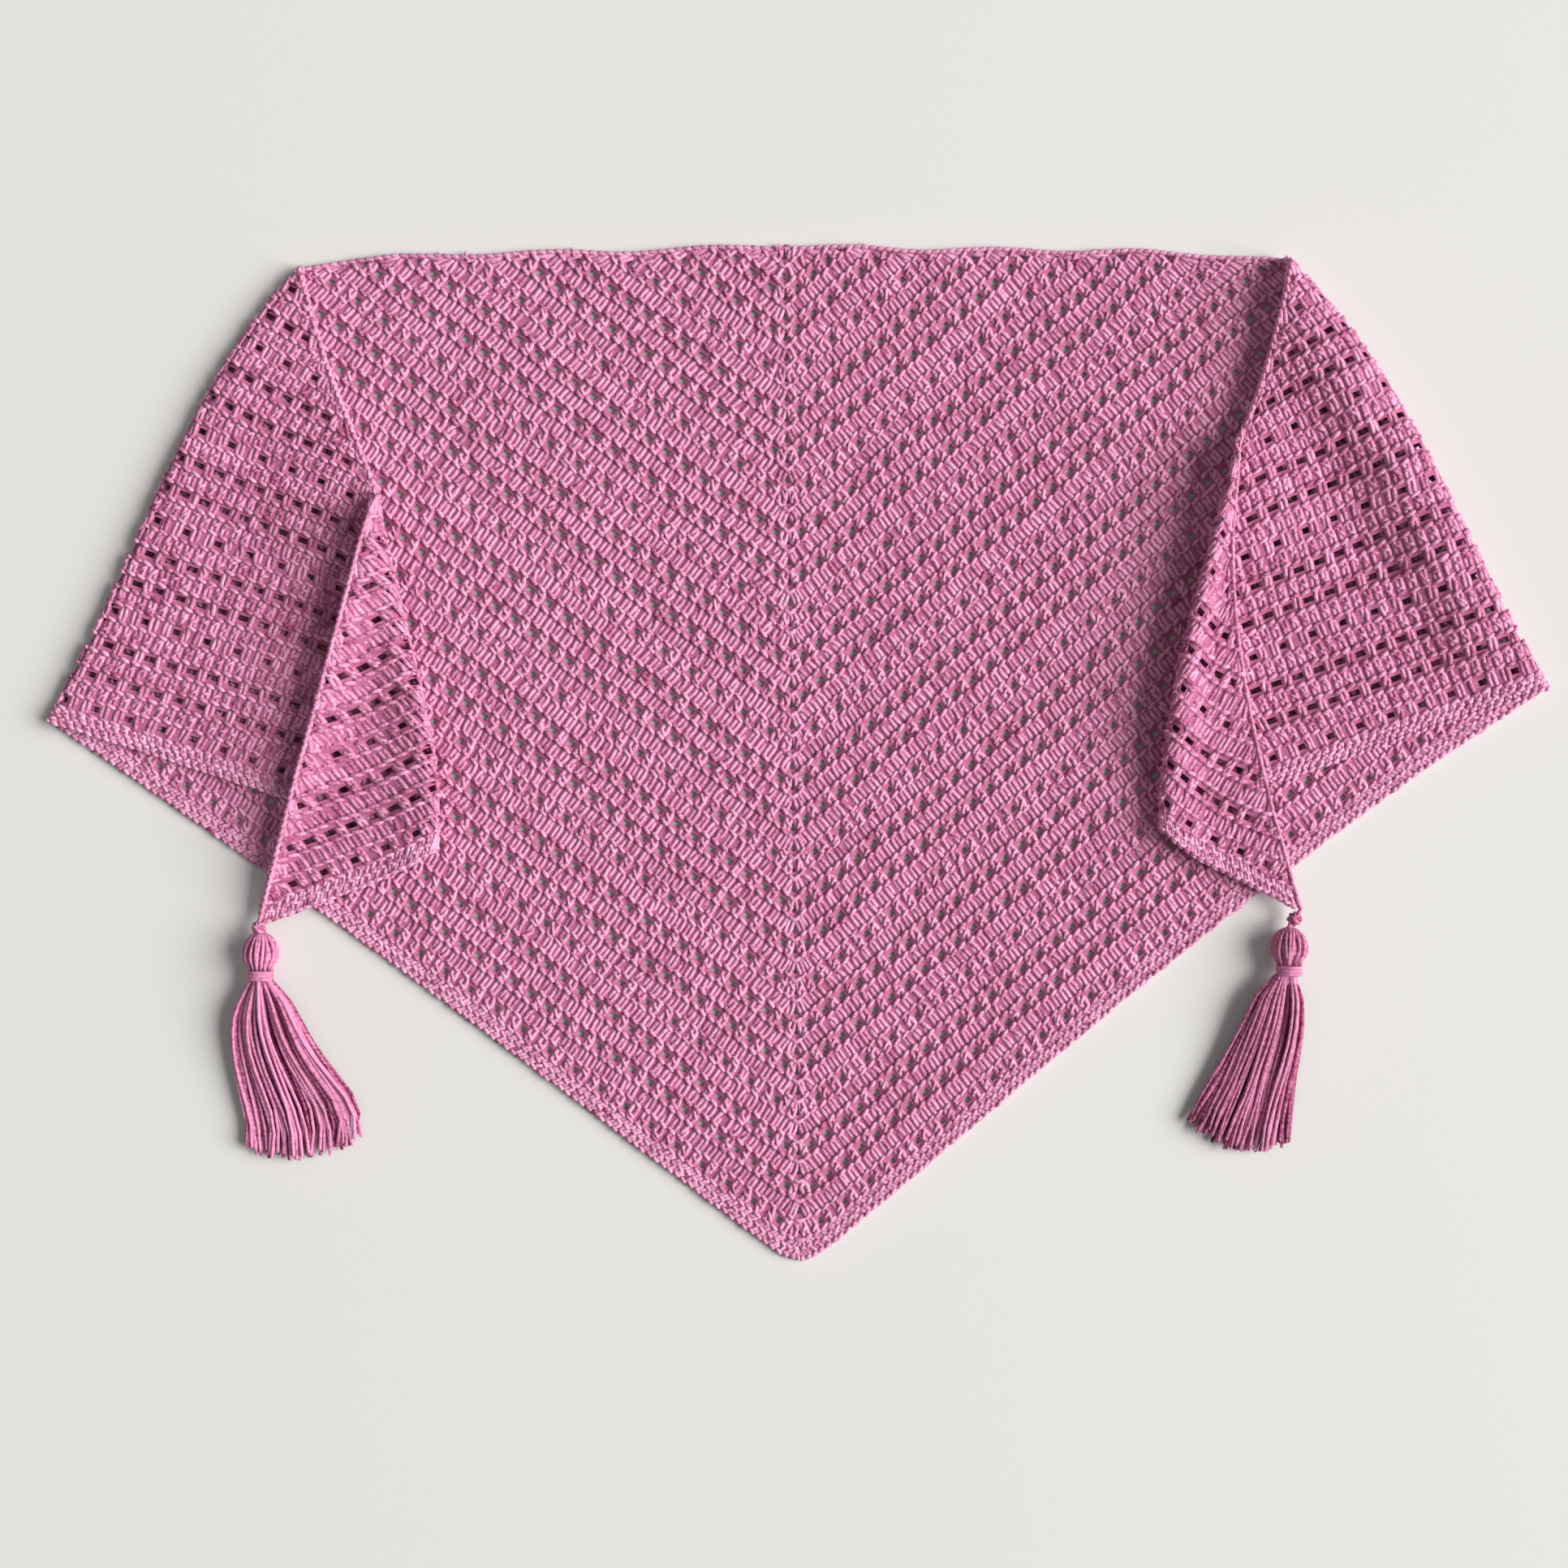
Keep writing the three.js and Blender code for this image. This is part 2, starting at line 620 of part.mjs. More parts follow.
const cloth = new THREE.MeshStandardMaterial({ color: COLOURS.cloth, roughness: 0.95, metalness: 0 });
const edging = new THREE.MeshStandardMaterial({ color: COLOURS.edging, roughness: 0.95, metalness: 0 });
const yarn = new THREE.MeshStandardMaterial({ color: COLOURS.yarn, roughness: 0.9, metalness: 0 });

const shawl = new THREE.Group();
function add(name, geometry, material) {
  const bare = geometry.clone();
  bare.deleteAttribute('normal');
  bare.deleteAttribute('uv');
  const mesh = new THREE.Mesh(mergeVertices(bare, 1e-4), material);
  mesh.name = name;
  shawl.add(mesh);
}

// The right half's grids run the other way round, so that every wall faces outwards.
const facing = (grid, outward) => (outward > 0 ? turnedRound(grid) : grid);
const LEVELS = [9, 9, 9];
const halves = Object.entries(SIDES).map(([name, side]) => ({ name, side, stretches: stretchesOf(side) }));
const [left, right] = halves;

const backBody = [
  ...turnedRound(bodyGrid(right.stretches[0], LEVELS[0])),
  ...bodyGrid(left.stretches[0], LEVELS[0]).slice(1),
];
const backPrisms = [...eyeletPrisms(left.stretches[0]), ...eyeletPrisms(right.stretches[0]), ...spinePrisms()];
add('back_panel', pierce(wall(backBody), backPrisms), cloth);
const backEdging = [...turnedRound(edgingGrid(right.stretches[0])), ...edgingGrid(left.stretches[0]).slice(1)];
add('back_edging', wall(backEdging), edging);

for (const { name, side, stretches } of halves) {
  for (const [stretch, part] of [[stretches[1], 'wing'], [stretches[2], 'tip']]) {
    const turn = part === 'wing' ? side.outward : -side.outward;
    add(`${name}_${part}`, pierce(wall(facing(bodyGrid(stretch, LEVELS[stretch.layer]), -turn)), eyeletPrisms(stretch)), cloth);
    add(`${name}_${part}_edging`, wall(facing(edgingGrid(stretch), -turn)), edging);
  }
  add(`${name}_hanger`, hangerGeometry(side), yarn);
  add(`${name}_tassel`, tasselGeometry(side.tassel), yarn);
  add(`${name}_neck_tie`, tieGeometry(side.tassel), yarn);
}

// The origin is the middle of the footprint, on the surface that the shawl lies on.
const bounds = new THREE.Box3().setFromObject(shawl);
const centre = bounds.getCenter(new THREE.Vector3());
for (const mesh of shawl.children) mesh.geometry.translate(-centre.x, -centre.y, -bounds.min.z);

export default shawl;
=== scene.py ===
"""A crocheted triangular shawl laid flat, with both ends folded in twice and a tassel on each end.

The cloth is worked out flat, stitch by stitch, and then laid: a place on the flat cloth is a row
and a distance along it from the spine, and one function says where that place lies. The ground
that shows between the stitches, every stitch, and the edging are all laid by it. The tassels are
bundles of single strands. Lengths are in millimetres until a mesh is made.
"""

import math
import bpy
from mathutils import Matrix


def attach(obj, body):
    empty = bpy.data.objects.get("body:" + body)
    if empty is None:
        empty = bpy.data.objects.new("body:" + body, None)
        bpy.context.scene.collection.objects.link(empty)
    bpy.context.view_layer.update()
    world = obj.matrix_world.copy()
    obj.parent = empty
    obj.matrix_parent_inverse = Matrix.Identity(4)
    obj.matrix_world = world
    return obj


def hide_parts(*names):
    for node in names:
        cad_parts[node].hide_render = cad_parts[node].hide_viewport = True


bl_info = {
    "name": "Crocheted Shawl",
    "version": (1, 0, 0),
    "blender": (4, 5, 0),
    "location": "View3D > Sidebar > Shawl",
    "description": "Builds a folded crocheted shawl with tassels around its CAD solids",
    "category": "Add Mesh",
}

import bpy
import numpy as np
from bpy.props import FloatProperty, FloatVectorProperty, IntProperty, PointerProperty
from mathutils import Vector

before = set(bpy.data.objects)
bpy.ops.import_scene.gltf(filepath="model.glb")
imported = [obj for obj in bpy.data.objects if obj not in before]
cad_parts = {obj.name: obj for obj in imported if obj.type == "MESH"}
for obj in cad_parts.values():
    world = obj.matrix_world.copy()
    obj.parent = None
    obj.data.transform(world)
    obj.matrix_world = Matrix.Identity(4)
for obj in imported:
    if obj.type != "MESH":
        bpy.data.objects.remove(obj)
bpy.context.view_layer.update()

MM = 0.001
TINY = 1e-9  # keeps a divisor from being zero

# Flat cut of one half.
SPINE = 700.0
TOP_EDGE = 840.0
LOWER_EDGE = 1055.0
ROWS = 50
BODY_ROWS = 49
SPINE_LEAN = (SPINE**2 + LOWER_EDGE**2 - TOP_EDGE**2) / (2 * SPINE * LOWER_EDGE)
ROW_STEP = SPINE / ROWS * math.sqrt(1 - SPINE_LEAN**2)  # from row to row, square to them
ROW_SHEAR = SPINE / ROWS * SPINE_LEAN  # how far along a row moves for each row outwards
ROW_GROWTH = LOWER_EDGE / ROWS  # how much longer each row is than the last

# The pattern repeats every six rows.
REPEAT_ROWS = 6
EYELET_ROWS = (2, 4)
SPARSE_ROW = 0
SPARSE_EVERY = 3

# How each half lies, in plan from the top centre. "top" and "low" are where each edge starts, is
# folded twice and ends, and "top_at" and "low_at" the shares of the flat edge that come there. A
# fold bows by "bow" at its "peak", has a radius at its start, middle and end, and settles over a
# distance. The bow of an edge has its peak too. A puff is a place, a height and a reach, and "curl"
# raises the free edge of the end. A skirt's "fall" is its left and right outline from the neck
# down, and "cut" its length on the left, in the middle and on the right.
TOP_CENTRE = (0.0, 0.0)
BOTTOM_POINT = (11.0, -702.0)
CAD_CENTRE = (9.4856, -348.0)  # where the origin of the solids lies in this plan
SIDES = {
    "left": {
        "outward": -1,
        "top": (TOP_CENTRE, (-330.0, -15.0), (-277.0, -172.0), (-361.0, -467.0)),
        "low": (BOTTOM_POINT, (-504.0, -326.0), (-237.0, -414.0), (-361.0, -467.0)),
        "top_at": (0.0, 0.375, 0.59, 1.0),
        "low_at": (0.0, 0.603, 0.869, 1.0),
        "folds": (
            {"bow": (-11.4, 6.4), "peak": 0.31, "radius": (3.6, 4.0, 3.2), "settle": 62.0},
            {"bow": (8.0, 2.0), "peak": 0.7, "radius": (4.0, 6.0, 5.0), "settle": 50.0},
        ),
        "top_bows": (((-1, 4), 0.75), ((-4, -1), 0.4), ((1, 0), 0.5)),
        "low_bows": (((2.6, 3.6), 0.6), ((0, 1), 0.5), ((2, -3), 0.35)),
        "puffs": (
            (-290, -130, 4.0, 60), (-268, -205, 4.0, 60),
            (-395, -255, 2.5, 55), (-345, -375, 1.8, 55),
        ),
        "curl": 20.5,
        "tassel": {
            "seed": 5,
            "head": (-357.4, -485.5),
            "fall": (
                (-7, -16, -21, -21.3, -19.4, -16.2, -13, -11, -11.5),
                (8, 20, 27.3, 34, 42.6, 52.6, 62.3, 67.3, 67.3),
            ),
            "cut": (116.0, 123.0, 107.0),
            "shade": 0.0,
        },
    },
    "right": {
        "outward": 1,
        "top": (TOP_CENTRE, (343.0, -12.0), (308.0, -135.0), (354.0, -458.0)),
        "low": (BOTTOM_POINT, (523.0, -304.0), (257.0, -397.0), (354.0, -458.0)),
        "top_at": (0.0, 0.427, 0.593, 1.0),
        "low_at": (0.0, 0.612, 0.881, 1.0),
        "folds": (
            {"bow": (11.5, 7.1), "peak": 0.33, "radius": (9.0, 8.5, 4.5), "settle": 58.0},
            {"bow": (-9.8, -3.3), "peak": 0.62, "radius": (6.0, 8.5, 5.5), "settle": 50.0},
        ),
        "top_bows": (((1, 4), 0.75), ((5, 0), 0.6), ((-18, 2), 0.45)),
        "low_bows": (((-7, 8.8), 0.62), ((0, 1), 0.5), ((-3, -5), 0.28)),
        "puffs": (
            (345, -48, 4.0, 36), (322, -95, 10.0, 60), (305, -180, 11.0, 60), (268, -262, 5.0, 46),
            (405, -270, 2.0, 50), (345, -350, 2.0, 55), (388, -108, 8.0, 26), (420, -160, 8.0, 26),
            (447, -208, 7.0, 26), (472, -255, 6.0, 26), (272, -322, 6.5, 43),
        ),
        "curl": 0.0,
        "tassel": {
            "seed": 6,
            "head": (344.8, -482.1),
            "fall": (
                (-11, -23, -29, -35, -41, -46.6, -53, -61, -68.3),
                (4, 10.3, 11.5, 10.7, 8.2, 5.4, 3.7, 2.2, 0.9),
            ),
            "cut": (99.0, 120.5, 115.0),
            "shade": -0.22,
        },
    },
}
TIP_SHARE = 0.995  # the cloth's end is blunt where the tassel hangs
EDGE_INSET = 2.0  # the ground stops short of the row ends, under the edge loops
# How far the ground reaches into each side of an opening, in stitches: lying flat, and folded over.
REACH_IN = {"plain": (0.0, 0.0), "eyelet": (0.15, 0.0), "sparse": (0.24, 0.14)}
ROW_LEVELS = np.array([0.0, 0.34, 0.68])  # where the ground has a line of corners in each row
EDGE_LEVELS = (49.0, 49.5, 49.97)  # and in the edging

POINT_DEPTH, POINT_WIDTH, POINT_FADE = 6.0, 24.0, 8  # the rounded corner at the bottom
WAVE_HEIGHT, WAVE_FADE, WAVE_ROW = 1.3, 14, 3  # how the top edge waves, and the row it starts from
WAVE_FOLDED = 0.3  # the share of the wave that is left past a fold
NARROWEST = 1e-4  # the share of its width that a stretch keeps where it ends
SLIP_FADE = 60.0  # how far past a fold the cloth is back in its place
PUFF_FADE = 40.0  # how far past a fold the puffs reach their height
CURL_WIDTH = 0.24  # how much of the end's width the curl raises
CURL_START, CURL_FULLNESS = 0.6, 0.7  # powers: how soon the curl rises, and how long it lasts
SLOPE_ROWS, SLOPE_ALONG = 0.05, 0.6  # the steps, in rows and millimetres, that slopes span
UNEVEN_ROWS, UNEVEN_ALONG = 0.05, 0.6  # how uneven the hand work is, in rows and millimetres
UNEVEN_HEIGHT, UNEVEN_LENGTH = 2.3, 31.0  # the rows and millimetres over which that changes
# It fades out towards the spine, the top edge, where a share is left, and the last row.
SPINE_FADE, TOP_FADE, TOP_LEFT, ROW_FADE = 20.0, 18.0, 0.1, 2.0
LOWEST = 0.02  # yarn lies flat where it rests on the surface
UPRIGHT = 1e-4  # a strand that leans less than this has no way across of its own


# Laying the cloth.


def smooth(t):
    x = np.clip(t, 0.0, 1.0)
    return x * x * (3 - 2 * x)


def between(a, b, t):
    return a * (1 - t) + b * t


def through_three(values, t):
    """A curve through three values, at 0, 0.5 and 1."""
    a, b, c = values
    return a * (1 - t) * (1 - 2 * t) + 4 * b * t * (1 - t) + c * t * (2 * t - 1)


def bow_shape(t, peak):
    """Nothing at 0 and 1, and 1 at the peak."""
    rising, falling = max(1.0, peak / (1 - peak)), max(1.0, (1 - peak) / peak)
    height = np.clip(t, 0, None) ** rising * np.clip(1 - t, 0, None) ** falling
    return height / (peak**rising * (1 - peak) ** falling)


class Stretch:
    """The cloth of one half between two folds. s runs from the spine side, v from the top edge."""

    def __init__(self, side, layer, levels):
        self.side, self.layer, self.levels = side, layer, levels
        self.top = np.array(side["top"][layer : layer + 2], float)
        self.low = np.array(side["low"][layer : layer + 2], float)
        self.top_at = side["top_at"][layer : layer + 2]
        self.low_at = side["low_at"][layer : layer + 2]
        self.before = side["folds"][layer - 1] if layer > 0 else None
        self.after = side["folds"][layer] if layer < len(side["folds"]) else None

    def place(self, row, along):
        """s and v of places on the flat cloth; s is outside 0 to 1 where they are in another stretch."""
        high = along / LOWER_EDGE
        low = row / ROWS - high
        (t0, t1), (l0, l1) = self.top_at, self.low_at
        dt, dl = t1 - t0, l1 - l0
        a = -dl * dt
        b = (1 - l0 - low) * dt - dl * t0 + low * dl + high * dl
        c = (1 - l0 - low) * t0 + low * l0 - high * (1 - l0)
        root = np.sqrt(np.clip(b * b - 4 * a * c, 0, None))
        s = -2 * c / np.where(np.abs(b + root) < TINY, TINY, b + root)
        v = low / np.clip(1 - l0 - dl * s, NARROWEST, None)
        return s, v

    def plan(self, s, v):
        """Where places lie in plan, before the folds are rounded."""
        top, low = between(*self.top, s[:, None]), between(*self.low, s[:, None])
        point = between(top, low, v[:, None])

        def swell(bow, peak, t, weight):
            return np.array(bow, float) * (bow_shape(t, peak) * weight)[:, None]

        point = point + swell(*self.side["top_bows"][self.layer], s, 1 - v)
        point = point + swell(*self.side["low_bows"][self.layer], s, v)
        if self.before:
            point = point + swell(self.before["bow"], self.before["peak"], v, 1 - s)
        if self.after:
            point = point + swell(self.after["bow"], self.after["peak"], v, s)
        if self.layer == 0:
            from_point = s * self.low_at[1] * LOWER_EDGE / POINT_WIDTH
            near = np.clip(1 - from_point, 0, None) ** 2
            point[:, 1] += POINT_DEPTH * near * np.clip(v, 0, 1) ** POINT_FADE
        # The top edge waves a little, once in each repeat of the pattern.
        rows = ROWS * between(*self.top_at, s)
        phase = 2 * np.pi * (rows - WAVE_ROW) / REPEAT_ROWS
        wave = WAVE_HEIGHT * np.cos(phase) * np.clip(1 - v, 0, 1) ** WAVE_FADE
        point[:, 1] += wave * (1.0 if self.layer == 0 else WAVE_FOLDED)
        return point

    def turn(self, fold, end, v, point):
        """What the fold at one end does to places: their shift along it and their rise towards its
        middle, how far they have settled past it, their distance from it and its radius there."""
        here = self.plan(np.full_like(v, end), v)
        far = self.plan(np.full_like(v, 1 - end), v)
        inward = far - here
        inward /= np.clip(np.linalg.norm(inward, axis=1), TINY, None)[:, None]
        radius = through_three(fold["radius"], np.clip(v, 0, 1))
        distance = np.linalg.norm(point - here, axis=1)
        quarter = radius * np.pi / 2
        angle = np.clip(distance / radius, 0, np.pi / 2)
        round_it = distance < quarter
        past = distance - quarter
        slip = np.where(
            round_it,
            distance - radius * (1 - np.cos(angle)),
            (quarter - radius) * (1 - smooth(past / SLIP_FADE)),
        )
        return {
            "shift": inward * slip[:, None],
            "rise": np.where(round_it, radius * (1 - np.sin(angle)), 0.0),
            "settled": np.where(round_it, 0.0, smooth(past / fold["settle"])),
            "distance": distance,
            "radius": radius,
        }

    def puffs(self, point):
        total = np.zeros(len(point))
        for x, y, height, reach in self.side["puffs"]:
            away = ((point[:, 0] - x) ** 2 + (point[:, 1] - y) ** 2) / reach**2
            total += height * np.exp(-away)
        return total

    def lay(self, s, v):
        """The middle of the cloth in space."""
        back, stack, tip_gap = self.levels
        wing = back + stack
        plan = self.plan(s, v)
        point = plan.copy()
        before = self.turn(self.before, 0.0, v, plan) if self.before else None
        after = self.turn(self.after, 1.0, v, plan) if self.after else None
        for turn in (before, after):
            if turn:
                point -= turn["shift"]
        height = np.full(len(s), back)
        if self.layer == 1:
            room = back + 2 * before["radius"] - wing
            height = wing + room * (1 - before["settled"]) - before["rise"]
            height += self.puffs(point) * smooth(before["distance"] / PUFF_FADE)
        if self.layer == 2:
            gap = stack + tip_gap
            room = 2 * before["radius"] - gap
            height = wing + self.puffs(point) + gap + room * (1 - before["settled"]) - before["rise"]
            lift = np.sin(np.pi * np.clip(s, 0, 1) ** CURL_START) ** CURL_FULLNESS
            height += self.side["curl"] * np.exp(-((v / CURL_WIDTH) ** 2)) * lift
        if after:
            height = height + after["rise"]
        return np.column_stack([point - CAD_CENTRE, height])


class Cloth:
    """Both halves. A place is (half, row, along), with half -1 on the left and 1 on the right."""

    def __init__(self, levels):
        self.halves = {}
        for side in SIDES.values():
            self.halves[side["outward"]] = [Stretch(side, n, levels) for n in range(3)]

    def middle(self, half, row, along):
        """Where places lie in space."""
        out = np.zeros((len(row), 3))
        for sign, stretches in self.halves.items():
            todo = half == sign
            for n, stretch in enumerate(stretches):
                index = np.nonzero(todo)[0]
                if not len(index):
                    break
                s, v = stretch.place(row[index], along[index])
                here = (s <= 1.0) | (stretch is stretches[-1])
                s = np.clip(s, -1.0 if n == 0 else 0.0, 1.0)
                out[index[here]] = stretch.lay(s[here], v[here])
                todo[index[here]] = False
        return out

    def layer(self, half, row, along):
        """Which stretch each place is in: 0, 1 or 2."""
        out = np.zeros(len(row), int)
        for sign, stretches in self.halves.items():
            for n, stretch in enumerate(stretches[:-1]):
                s, _ = stretch.place(row, along)
                out[(half == sign) & (s > 1.0) & (out == n)] = n + 1
        return out

    def surface(self, half, row, along, height):
        """Points at a height over the middle of the cloth, on its right side."""
        half = np.asarray(half, float)
        middle = self.middle(half, row, along)
        outwards = self.middle(half, row + SLOPE_ROWS, along + SLOPE_ROWS * ROW_SHEAR) - middle
        sideways = self.middle(half, row, along + SLOPE_ALONG) - middle
        normal = np.cross(outwards, sideways) * half[:, None]
        normal /= np.clip(np.linalg.norm(normal, axis=1), TINY, None)[:, None]
        return middle + normal * height[:, None]


def wobble(half, row, along):
    """Places moved by the unevenness of hand work."""
    x = half * along / UNEVEN_LENGTH
    y = row / UNEVEN_HEIGHT
    # The numbers in these sines only keep them out of step.
    d_row = UNEVEN_ROWS * (np.sin(x * 1.7 + y * 0.9) + np.sin(x * 0.6 - y * 1.6 + 1.2))
    d_along = UNEVEN_ALONG * (np.sin(y * 1.9 + x * 0.8) + np.sin(y * 0.7 - x * 1.3 + 0.5))
    at_top = smooth((ROW_GROWTH * row - along) / TOP_FADE + TOP_LEFT)
    fade = smooth(along / SPINE_FADE) * at_top * smooth((ROWS - row) / ROW_FADE)
    return row + d_row * fade, along + d_along * fade


# Meshes.


def make_mesh(name, points, faces, uv, tone):
    """A smooth mesh object from points in millimetres and lists of triangles or quads."""
    mesh = bpy.data.meshes.new(name)
    points = np.array(points, float)
    points[:, 2] = np.maximum(points[:, 2], LOWEST)
    faces = [np.asarray(f, np.int32) for f in faces]
    loops = np.concatenate([f.reshape(-1) for f in faces])
    sizes = np.concatenate([np.full(len(f), f.shape[1], np.int32) for f in faces])
    starts = np.concatenate([[0], np.cumsum(sizes)[:-1]]).astype(np.int32)
    mesh.vertices.add(len(points))
    mesh.vertices.foreach_set("co", (np.asarray(points, np.float32) * MM).reshape(-1))
    mesh.loops.add(len(loops))
    mesh.loops.foreach_set("vertex_index", loops)
    mesh.polygons.add(len(sizes))
    mesh.polygons.foreach_set("loop_start", starts)
    mesh.polygons.foreach_set("use_smooth", np.full(len(sizes), True))
    layer = mesh.uv_layers.new(name="UVMap")
    layer.data.foreach_set("uv", np.asarray(uv, np.float32)[loops].reshape(-1))
    attribute = mesh.attributes.new("tone", "FLOAT", "POINT")
    attribute.data.foreach_set("value", np.asarray(tone, np.float32))
    mesh.update()
    mesh.validate()
    obj = bpy.data.objects.new(name, mesh)
    bpy.context.scene.collection.objects.link(obj)
    return obj


def strand_faces(sides, rings):
    """The quads and the end fans of one strand, whose corners are a tip, its rings and a tip."""
    tip = 1 + rings * sides

    def corner(ring, k):
        return 1 + ring * sides + k % sides

    quads = [
        [corner(n, k), corner(n, k + 1), corner(n + 1, k + 1), corner(n + 1, k)]
        for n in range(rings - 1)
        for k in range(sides)
    ]
    fans = [[0, corner(0, k + 1), corner(0, k)] for k in range(sides)]
    fans += [[tip, corner(rings - 1, k), corner(rings - 1, k + 1)] for k in range(sides)]
    return np.array(quads), np.array(fans)


def strands(paths, radii, sides, turn=0.0):
    """Closed strands, pointed at both ends, along paths of shape (count, points, 3).

    Gives the corners with the faces that join them, and for each corner its strand and its UV,
    which is its place round the strand and how far along it lies.
    """
    paths = np.asarray(paths, float)
    count, rings = len(paths), paths.shape[1] - 2
    radii = np.broadcast_to(np.asarray(radii, float), (count, rings))
    ahead = np.gradient(paths, axis=1)
    ahead /= np.clip(np.linalg.norm(ahead, axis=2), TINY, None)[..., None]
    up = np.zeros_like(ahead)
    up[..., 2] = 1
    across = np.cross(up, ahead)
    across[np.linalg.norm(across, axis=2) < UPRIGHT] = (1, 0, 0)
    across /= np.linalg.norm(across, axis=2)[..., None]
    over = np.cross(ahead, across)
    angle = (turn + 2 * np.pi * np.arange(sides) / sides)[:, None]
    spoke = np.cos(angle) * across[:, 1:-1, None, :] + np.sin(angle) * over[:, 1:-1, None, :]
    ring_corners = paths[:, 1:-1, None, :] + radii[..., None, None] * spoke
    corners = np.concatenate([paths[:, :1], ring_corners.reshape(count, -1, 3), paths[:, -1:]], axis=1)
    each = corners.shape[1]
    offset = (np.arange(count) * each)[:, None, None]
    quads, fans = strand_faces(sides, rings)
    faces = ((quads + offset).reshape(-1, 4), (fans + offset).reshape(-1, 3))
    steps = np.cumsum(np.linalg.norm(np.diff(paths, axis=1), axis=2), axis=1)
    run = np.column_stack([np.zeros(count), steps])
    along = np.column_stack([run[:, :1], np.repeat(run[:, 1:-1], sides, axis=1), run[:, -1:]])
    around = np.concatenate([[0.0], np.tile(np.arange(sides) / sides, rings), [0.0]])
    uv = np.column_stack([np.tile(around, count), along.reshape(-1) * MM])
    return corners.reshape(-1, 3), faces, np.repeat(np.arange(count), each), uv


class Bundle:
    """Collects strands, and makes one mesh of them."""

    def __init__(self):
        self.parts, self.size = [], 0

    def add(self, points, faces, uv, tone):
        quads, fans = faces
        self.parts.append((points, quads + self.size, fans + self.size, uv, tone))
        self.size += len(points)

    def make(self, name):
        points, quads, fans, uv, tone = (np.concatenate(part) for part in zip(*self.parts))
        return make_mesh(name, points, [quads, fans], uv, tone)


def add_world_strands(bundle, paths, radii, tone, sides=5):
    """Strands whose paths are places in space."""
    points, faces, which, uv = strands(paths, radii, sides)
    bundle.add(points, faces, uv, tone[which])


# Stitches.


FAN_IN, FAN_OUT = 0.22, 0.3  # how much stitches fan out at the spine and at the top edge
NEAREST = 0.4  # to the spine, for the foot of a stitch
POST_ROOM, LINK_ROOM = 3.0, 4.2  # what a row's last stitch and last loop leave free at its end
POST_WIDTH = {"plain": 1.0, "eyelet": 1.18, "sparse": 1.22}
SPARSE_SHIFT = 0.9  # how far both stitches between a sparse row's openings move towards them
EYELET_LINK = 1.14  # the size of the loops beside eyelets

# An upright: how far up it each point lies, and in yarn radii how far its two strands are from its
# middle and how thick they are. Then the wrap: its points and its height across, and its thickness.
POST_UP = np.array([-0.12, 0.14, 0.5, 0.86, 1.10])
POST_APART = np.array([0.3, 1.0, 1.1, 1.04, 0.4])
POST_SIZE = np.array([1.02, 1.12, 1.0])
WRAP_ACROSS = np.array([-1.1, -0.5, 0.5, 1.1])
WRAP_RISE = np.array([0.1, 0.85, 0.85, 0.1])
WRAP_WIDTH, WRAP_SIZE = 1.9, 0.85

# A loop: its points along the row in stitches, across it in millimetres, and over it in yarn radii.
LOOP_ALONG = np.array([-0.68, -0.26, 0.26, 0.68])
LOOP_ACROSS = np.array([0.55, 0.15, -0.75, -1.25])
LOOP_RISE = np.array([0.1, 0.8, 0.9, 0.3])
LOOP_SIZE = 0.98
LOOP_HIGH, LOOP_LOW = 1.1, 0.6  # the share of that rise beside eyelets, and elsewhere
EDGE_LOOPS = 3  # to each row along the top edge
# The edge loops' tone is below that of the body: painted shade along the top edge.
EDGE_LOOP_LENGTH, EDGE_LOOP_INSET, EDGE_LOOP_SHADED_TONE = 1.1, 1.7, 0.85
TONE_SPREAD = 0.25  # how much the tones of single strands differ

# The chain over the spine: its points in stitches, its height and thickness in yarn radii.
SPINE_ACROSS = np.array([-0.8, -0.45, 0.0, 0.45, 0.8])
SPINE_RISE, SPINE_SIZE = 0.9, 1.05

# The edging: where each of its rows ends and its first stitch stands, and how its stitches compare
# with those of the body in spacing, in width and in thickness.
EDGING_ROWS = ((49.5, 0.5), (50.0, 0.15))
EDGING_PITCH, EDGING_WIDTH, EDGING_SIZE = 0.8, 0.85, 0.95


def pattern_of(row):
    kind = row % REPEAT_ROWS
    if kind in EYELET_ROWS:
        return "eyelet"
    return "sparse" if kind == SPARSE_ROW and row >= REPEAT_ROWS else "plain"


def open_cells(row, number):
    """Whether the cell of a row at a stitch is open. The spine, at 0, always is."""
    every = {"eyelet": 2, "sparse": SPARSE_EVERY}.get(pattern_of(row))
    return (number % every == 0) if every else (number == 0)


def foot_of(row, head, row_top):
    """Where a stitch with its head at a distance along its row stands on the row before."""
    straight = head - ROW_SHEAR
    fanned_in = head * FAN_IN
    fanned_out = ROW_GROWTH * row - (ROW_GROWTH * row_top - head) * FAN_OUT
    return np.clip(np.minimum(np.maximum(straight, fanned_in), fanned_out), NEAREST, None)


def stitch_tables(pitch):
    """The uprights and loops of both halves: half, row, place along it and size of each."""
    posts, links = [], []
    for row in range(BODY_ROWS):
        kind = pattern_of(row)
        size = EYELET_LINK if "eyelet" in (kind, pattern_of(row + 1)) else 1.0
        longest = ROW_GROWTH * (row + 1)
        for half in (-1, 1):
            for n in range(1, int((longest - POST_ROOM) / pitch) + 1):
                shift = 0.0
                if kind == "sparse":
                    shift = SPARSE_SHIFT if n % SPARSE_EVERY == 2 else -SPARSE_SHIFT
                if n * pitch < longest - LINK_ROOM:
                    links.append((half, row, n * pitch, size))
                if not open_cells(row, n):
                    posts.append((half, row, n * pitch + shift, POST_WIDTH[kind]))
    return np.array(posts, float), np.array(links, float)


